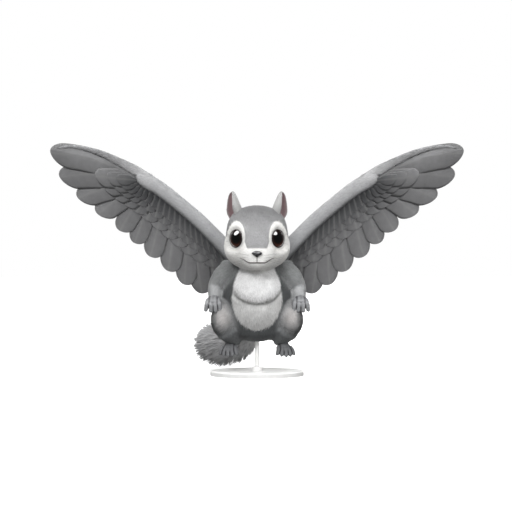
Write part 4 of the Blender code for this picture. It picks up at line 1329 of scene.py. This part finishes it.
def vanePiece(name, table, form, tone, side):
    # darker under the arm, partly the feathers' own darker bases and partly painted shade, with painted
    # shade where a vane lies under its neighbour, paler along its quill and near the leading edge of the
    # outermost vane
    points, plan, loop, soft = vanes(table, form, side)
    count, rows, around = points.shape[:3]
    flat = points.reshape(-1, 3)
    edge = np.array(wing["edge"], float)
    x = np.abs(flat[:, 0])
    below = np.clip(np.interp(x, edge[:, 0], edge[:, 2]) - flat[:, 2], 0, 90)
    # darkest just under the arm: partly the feathers' own darker bases, partly painted shade
    tint = mixed(tone["inner"], tone["outer"], fade(6, 52, below))
    tint = mixed(tint, tone["far"], fade(130, 195, x))
    outward = fade(170, 200, x) * fade(240, 215, x)
    tint = tint * (1 + 0.22 * fade(24, 4, below) * outward)[:, None]
    turned = np.broadcast_to(loop, points.shape[:3]).ravel()
    rim = fade(0.7, 1.0, np.abs(turned))
    # painted shade on the side of each vane that lies under its neighbour
    paintedOverlapShade = form["shade"] * fade(0.1, 1.0, turned * wing["shadeSide"])
    tint = tint * (1 - 0.06 * rim - paintedOverlapShade)[:, None]
    tint = mixed(tint, tone["shaft"], 0.25 * np.exp(-((plan[..., 0].ravel() / 0.6) ** 2)))
    draw = np.random.default_rng(90)
    tint = tint * np.repeat(draw.normal(1, 0.03, count), rows * around)[:, None]
    faces = turnedOut(flat, sweptFaces(count, rows, around, False))
    mesh = meshOf(name, flat, faces, tint, {"vane": plan.reshape(-1, 2)}, soft.reshape(-1, 3))
    pieceOf(name, mesh, featherFinish)


def covertTable(share, width, lift):
    # flight feathers between the real ones, cut to a share of their length, their tips evenly apart
    flight = np.array(wing["flight"], float)
    tries = 400
    place = np.linspace(wing["covertStart"], len(flight) - 1, tries)
    rows = np.stack([np.interp(place, np.arange(len(flight)), column) for column in flight.T], -1)
    tips = rows[:, 0:2] + (rows[:, 2:4] - rows[:, 0:2]) * share
    run = np.append(0, np.cumsum(np.linalg.norm(np.diff(tips, axis=0), axis=-1)))
    count = int(run[-1] / (width * wing["covertSpacing"]))
    chosen = np.searchsorted(run, np.linspace(0, run[-1], count)).clip(0, tries - 1)
    rows, tips = rows[chosen], tips[chosen]
    return np.column_stack([rows[:, 0:2], tips, np.full(count, width), rows[:, 5] * share**2,
                            rows[:, 6], np.full(count, lift)])


def armCoat(name, core, tone, side):
    # short fur over the wing's arm and leading edge, lying between its tip and its trailing edge
    form = wing["fur"]
    points, triangles = arraysOf(core)
    normals = pointNormals(points, triangles)
    roots, n = rooted(points, normals, triangles, form["perSquareMm"], 95)
    lines = [through(wing[part], 80) for part in ("arm", "hand")]
    spine = np.concatenate([line[:, :3] for line in lines]) * (side, 1, 1)
    ahead = np.concatenate([unit(np.gradient(line[:, :3], axis=0)) for line in lines]) * (side, 1, 1)
    along = np.concatenate([np.linspace(0, 1, 80), np.linspace(1, 2, 80)])
    radius = np.concatenate([line[:, 3] for line in lines])
    closest = squaresTo(roots, spine).argmin(1)
    straight, share = ahead[closest], along[closest]
    trailing = np.stack([straight[:, 2], 0 * share, -straight[:, 0]], -1) * side
    heading = straight + (form["lean"][0] + form["lean"][1] * fade(0.9, 1.2, share))[:, None] * trailing
    lie = laidFlat(heading, n)
    colours = mixed(tone["armNear"], tone["armFar"], np.minimum(share, 1))
    colours = mixed(colours, tone["band"], fade(1.0, 1.5, share))
    # painted shade on the lower side of the arm
    under = fade(0.2, 0.9, (n * (0.62 * side, 0, -0.78)).sum(-1)) * fade(1.05, 0.95, share)
    colours = mixed(colours, tone["inner"] * 1.25, under * 0.75)
    colours = colours * (1 + 0.04 * mottle(roots, 12, 21))[:, None]
    turn = np.arctan2(n[:, 1], (n * trailing).sum(-1)) / (2 * math.pi) + 0.5
    unwrap = np.stack([turn, share / 2], -1) * 0.97
    length = form["length"] * (0.35 + 0.65 * radius[closest] / form["fullAt"])
    length = length * (1 + 0.35 * fade(1.0, 1.2, share))
    tufts(name, roots, n, lie, length, length * form["width"], form["lift"], colours, unwrap, 96)


def wingPieces(side, word):
    # the arm's core with its fur, the flight feathers, and the coverts on both faces
    tone = tonesOf(wing)
    core = joinedRings([tubeRings(np.array(rows) * (1, 1, 1, 0.95, 0.95), 60, 28, caps, (0, 1, 0))
                        for rows, caps in ((wing["arm"], (8, 2)), (wing["hand"], (6, 1)))])
    points = core[0] * np.array([side, 1, 1])
    mesh = meshOf("wing_core", points, turnedOut(points, core[1]), tone["armNear"])
    pieceOf("wing_core_" + word, mesh, downFinish, ("wing_" + word,))
    armCoat("coat_wing_" + word, mesh, tone, side)
    flight = np.column_stack([np.array(wing["flight"], float), np.zeros(len(wing["flight"]))])
    vanePiece("flight_feathers_" + word, flight, wing["flightForm"], tone, side)
    for facing, face in ((-1, "under"), (1, "upper")):
        for number, (share, width, lift) in enumerate(wing["coverts"]):
            table = covertTable(share, width, lift * facing)
            vanePiece(f"coverts_{face}_{number + 1}_{word}", table, wing["covertForm"], tone, side)


for side, word in sides:
    wingPieces(side, word)
print("wings")


# Stand

def standFinish():
    # satin paint: an even colour with a slight orange-peel bump and faint unevenness in its gloss
    made, tree, shader = newFinish("standPaint", 0.4, Specular_IOR_Level=0.5)
    cloud = grainOf(tree, 40.0, 2.0)
    tone = node(tree, "ShaderNodeMix", data_type="RGBA")
    tree.links.new(cloud, tone.inputs["Factor"])
    tone.inputs["A"].default_value = (*linear(226, 226, 224), 1)
    tone.inputs["B"].default_value = (*linear(238, 238, 237), 1)
    tree.links.new(tone.outputs["Result"], shader.inputs["Base Color"])
    tree.links.new(ranged(tree, cloud, 0.32, 0.48), shader.inputs["Roughness"])
    liftedBy(tree, shader, grainOf(tree, 900.0, 2.0), 0.04, 0.4)
    return made


paint = standFinish()
for name in ("stand_base", "stand_rod"):
    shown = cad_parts[name]
    for place in shown.material_slots:
        place.material = paint
print("stand")


# Floor, light and camera

studio = {
    "frameWidth": 614.4, "distance": 2000.0, "aim": (-1.2, 0.0, 143.2),
    "sky": 0.85, "ground": 0.20, "shine": 0.06,  # world light from above, from below, in reflections
    "floorTone": (246, 246, 246), "floorGlow": (0.30, 0.80),  # round the stand and far off
    # place in metres, size in metres, watts, and whether it lights the coat or shows in the eyes
    "lights": {
        "key": ((-0.55, -1.75, 1.25), 0.9, 27.0, "coat"),
        "fill": ((0.95, -1.75, 0.65), 0.9, 11.0, "coat"),
        "topRight": ((-0.60, 0.255, 0.93), 0.60, 3.4, "coat"),
        "topLeft": ((0.34, -0.29, 1.07), 0.45, 3.0, "coat"),
        "back": ((0.6, 1.85, 0.95), 1.0, 30.0, "coat"),
        "backFill": ((-1.2, 1.5, 0.6), 1.0, 10.0, "coat"),
        "glintRight": ((-0.652, -0.19, 0.927), 0.75, 17.0, "eyes"),
        "glintLeft": ((0.334, -0.513, 0.985), 0.75, 17.0, "eyes"),
    },
}


def studioLight(name, place, size, power, serves):
    # a round lamp turned to the animal's middle
    lamp = bpy.data.lights.new(name, "AREA")
    lamp.shape = "DISK"
    lamp.size = size
    lamp.energy = power
    lamp.color = (1.0, 1.0, 1.0)
    made = bpy.data.objects.new(name, lamp)
    scene.collection.objects.link(made)
    made.location = place
    made.rotation_euler = (Vector((0, 0, 0.14)) - Vector(place)).to_track_quat("-Z", "Y").to_euler()
    # a lamp for the coat isn't mirrored, and one for the eyes is only mirrored
    made.visible_glossy = serves == "eyes"
    made.visible_diffuse = serves == "coat"


floorFinish, floorTree, floorShader = newFinish("floorPaper", 0.9, Specular_IOR_Level=0.1)
floorShader.inputs["Base Color"].default_value = (*linear(*studio["floorTone"]), 1)
floorShader.inputs["Emission Color"].default_value = (1, 1, 1, 1)
floorPlace = node(floorTree, "ShaderNodeTexCoord")
floorReach = node(floorTree, "ShaderNodeVectorMath", [(0, floorPlace.outputs["Object"])],
                  operation="LENGTH")
floorGlow = ranged(floorTree, floorReach.outputs["Value"], *studio["floorGlow"], 0.15, 1.2)
floorTree.links.new(floorGlow, floorShader.inputs["Emission Strength"])
turn = circle(96)
disc = np.column_stack([np.cos(turn), np.sin(turn), 0 * turn]) * 9000
floorMesh = meshOf("floor", disc, [np.arange(96)[None]])
floor = bpy.data.objects.new("floor", floorMesh)
scene.collection.objects.link(floor)
floor.data.materials.append(floorFinish)
floor.visible_diffuse = False
floor.visible_glossy = False

world = bpy.data.worlds.new("studio")
scene.world = world
world.use_nodes = True
worldTree = world.node_tree
backdrop = worldTree.nodes["Background"]
backdrop.inputs["Color"].default_value = (1, 1, 1, 1)
# brighter from above than from below, dim in reflections, and white where the camera sees it
seen = node(worldTree, "ShaderNodeLightPath")
way = node(worldTree, "ShaderNodeTexCoord")
rise = node(worldTree, "ShaderNodeSeparateXYZ", [("Vector", way.outputs["Generated"])])
sky = ranged(worldTree, rise.outputs["Z"], studio["ground"], studio["sky"], -0.5, 0.9)
mirrorLevel = ranged(worldTree, seen.outputs["Is Glossy Ray"], sky, studio["shine"])
level = ranged(worldTree, seen.outputs["Is Camera Ray"], mirrorLevel, 1.0)
worldTree.links.new(level, backdrop.inputs["Strength"])
for name, (place, size, power, serves) in studio["lights"].items():
    studioLight(name, place, size, power, serves)

lens = bpy.data.cameras.new("camera")
camera = bpy.data.objects.new("camera", lens)
scene.collection.objects.link(camera)
lens.sensor_width = 36.0
lens.lens = 36.0 * studio["distance"] / studio["frameWidth"]
aim = np.array(studio["aim"]) * mm
camera.location = aim + np.array([0, -studio["distance"] * mm, 0])
camera.rotation_euler = (math.pi / 2, 0, 0)
lens.clip_start, lens.clip_end = 0.05, 50.0
lens.dof.use_dof = False
scene.camera = camera
scene.view_settings.view_transform = "Standard"
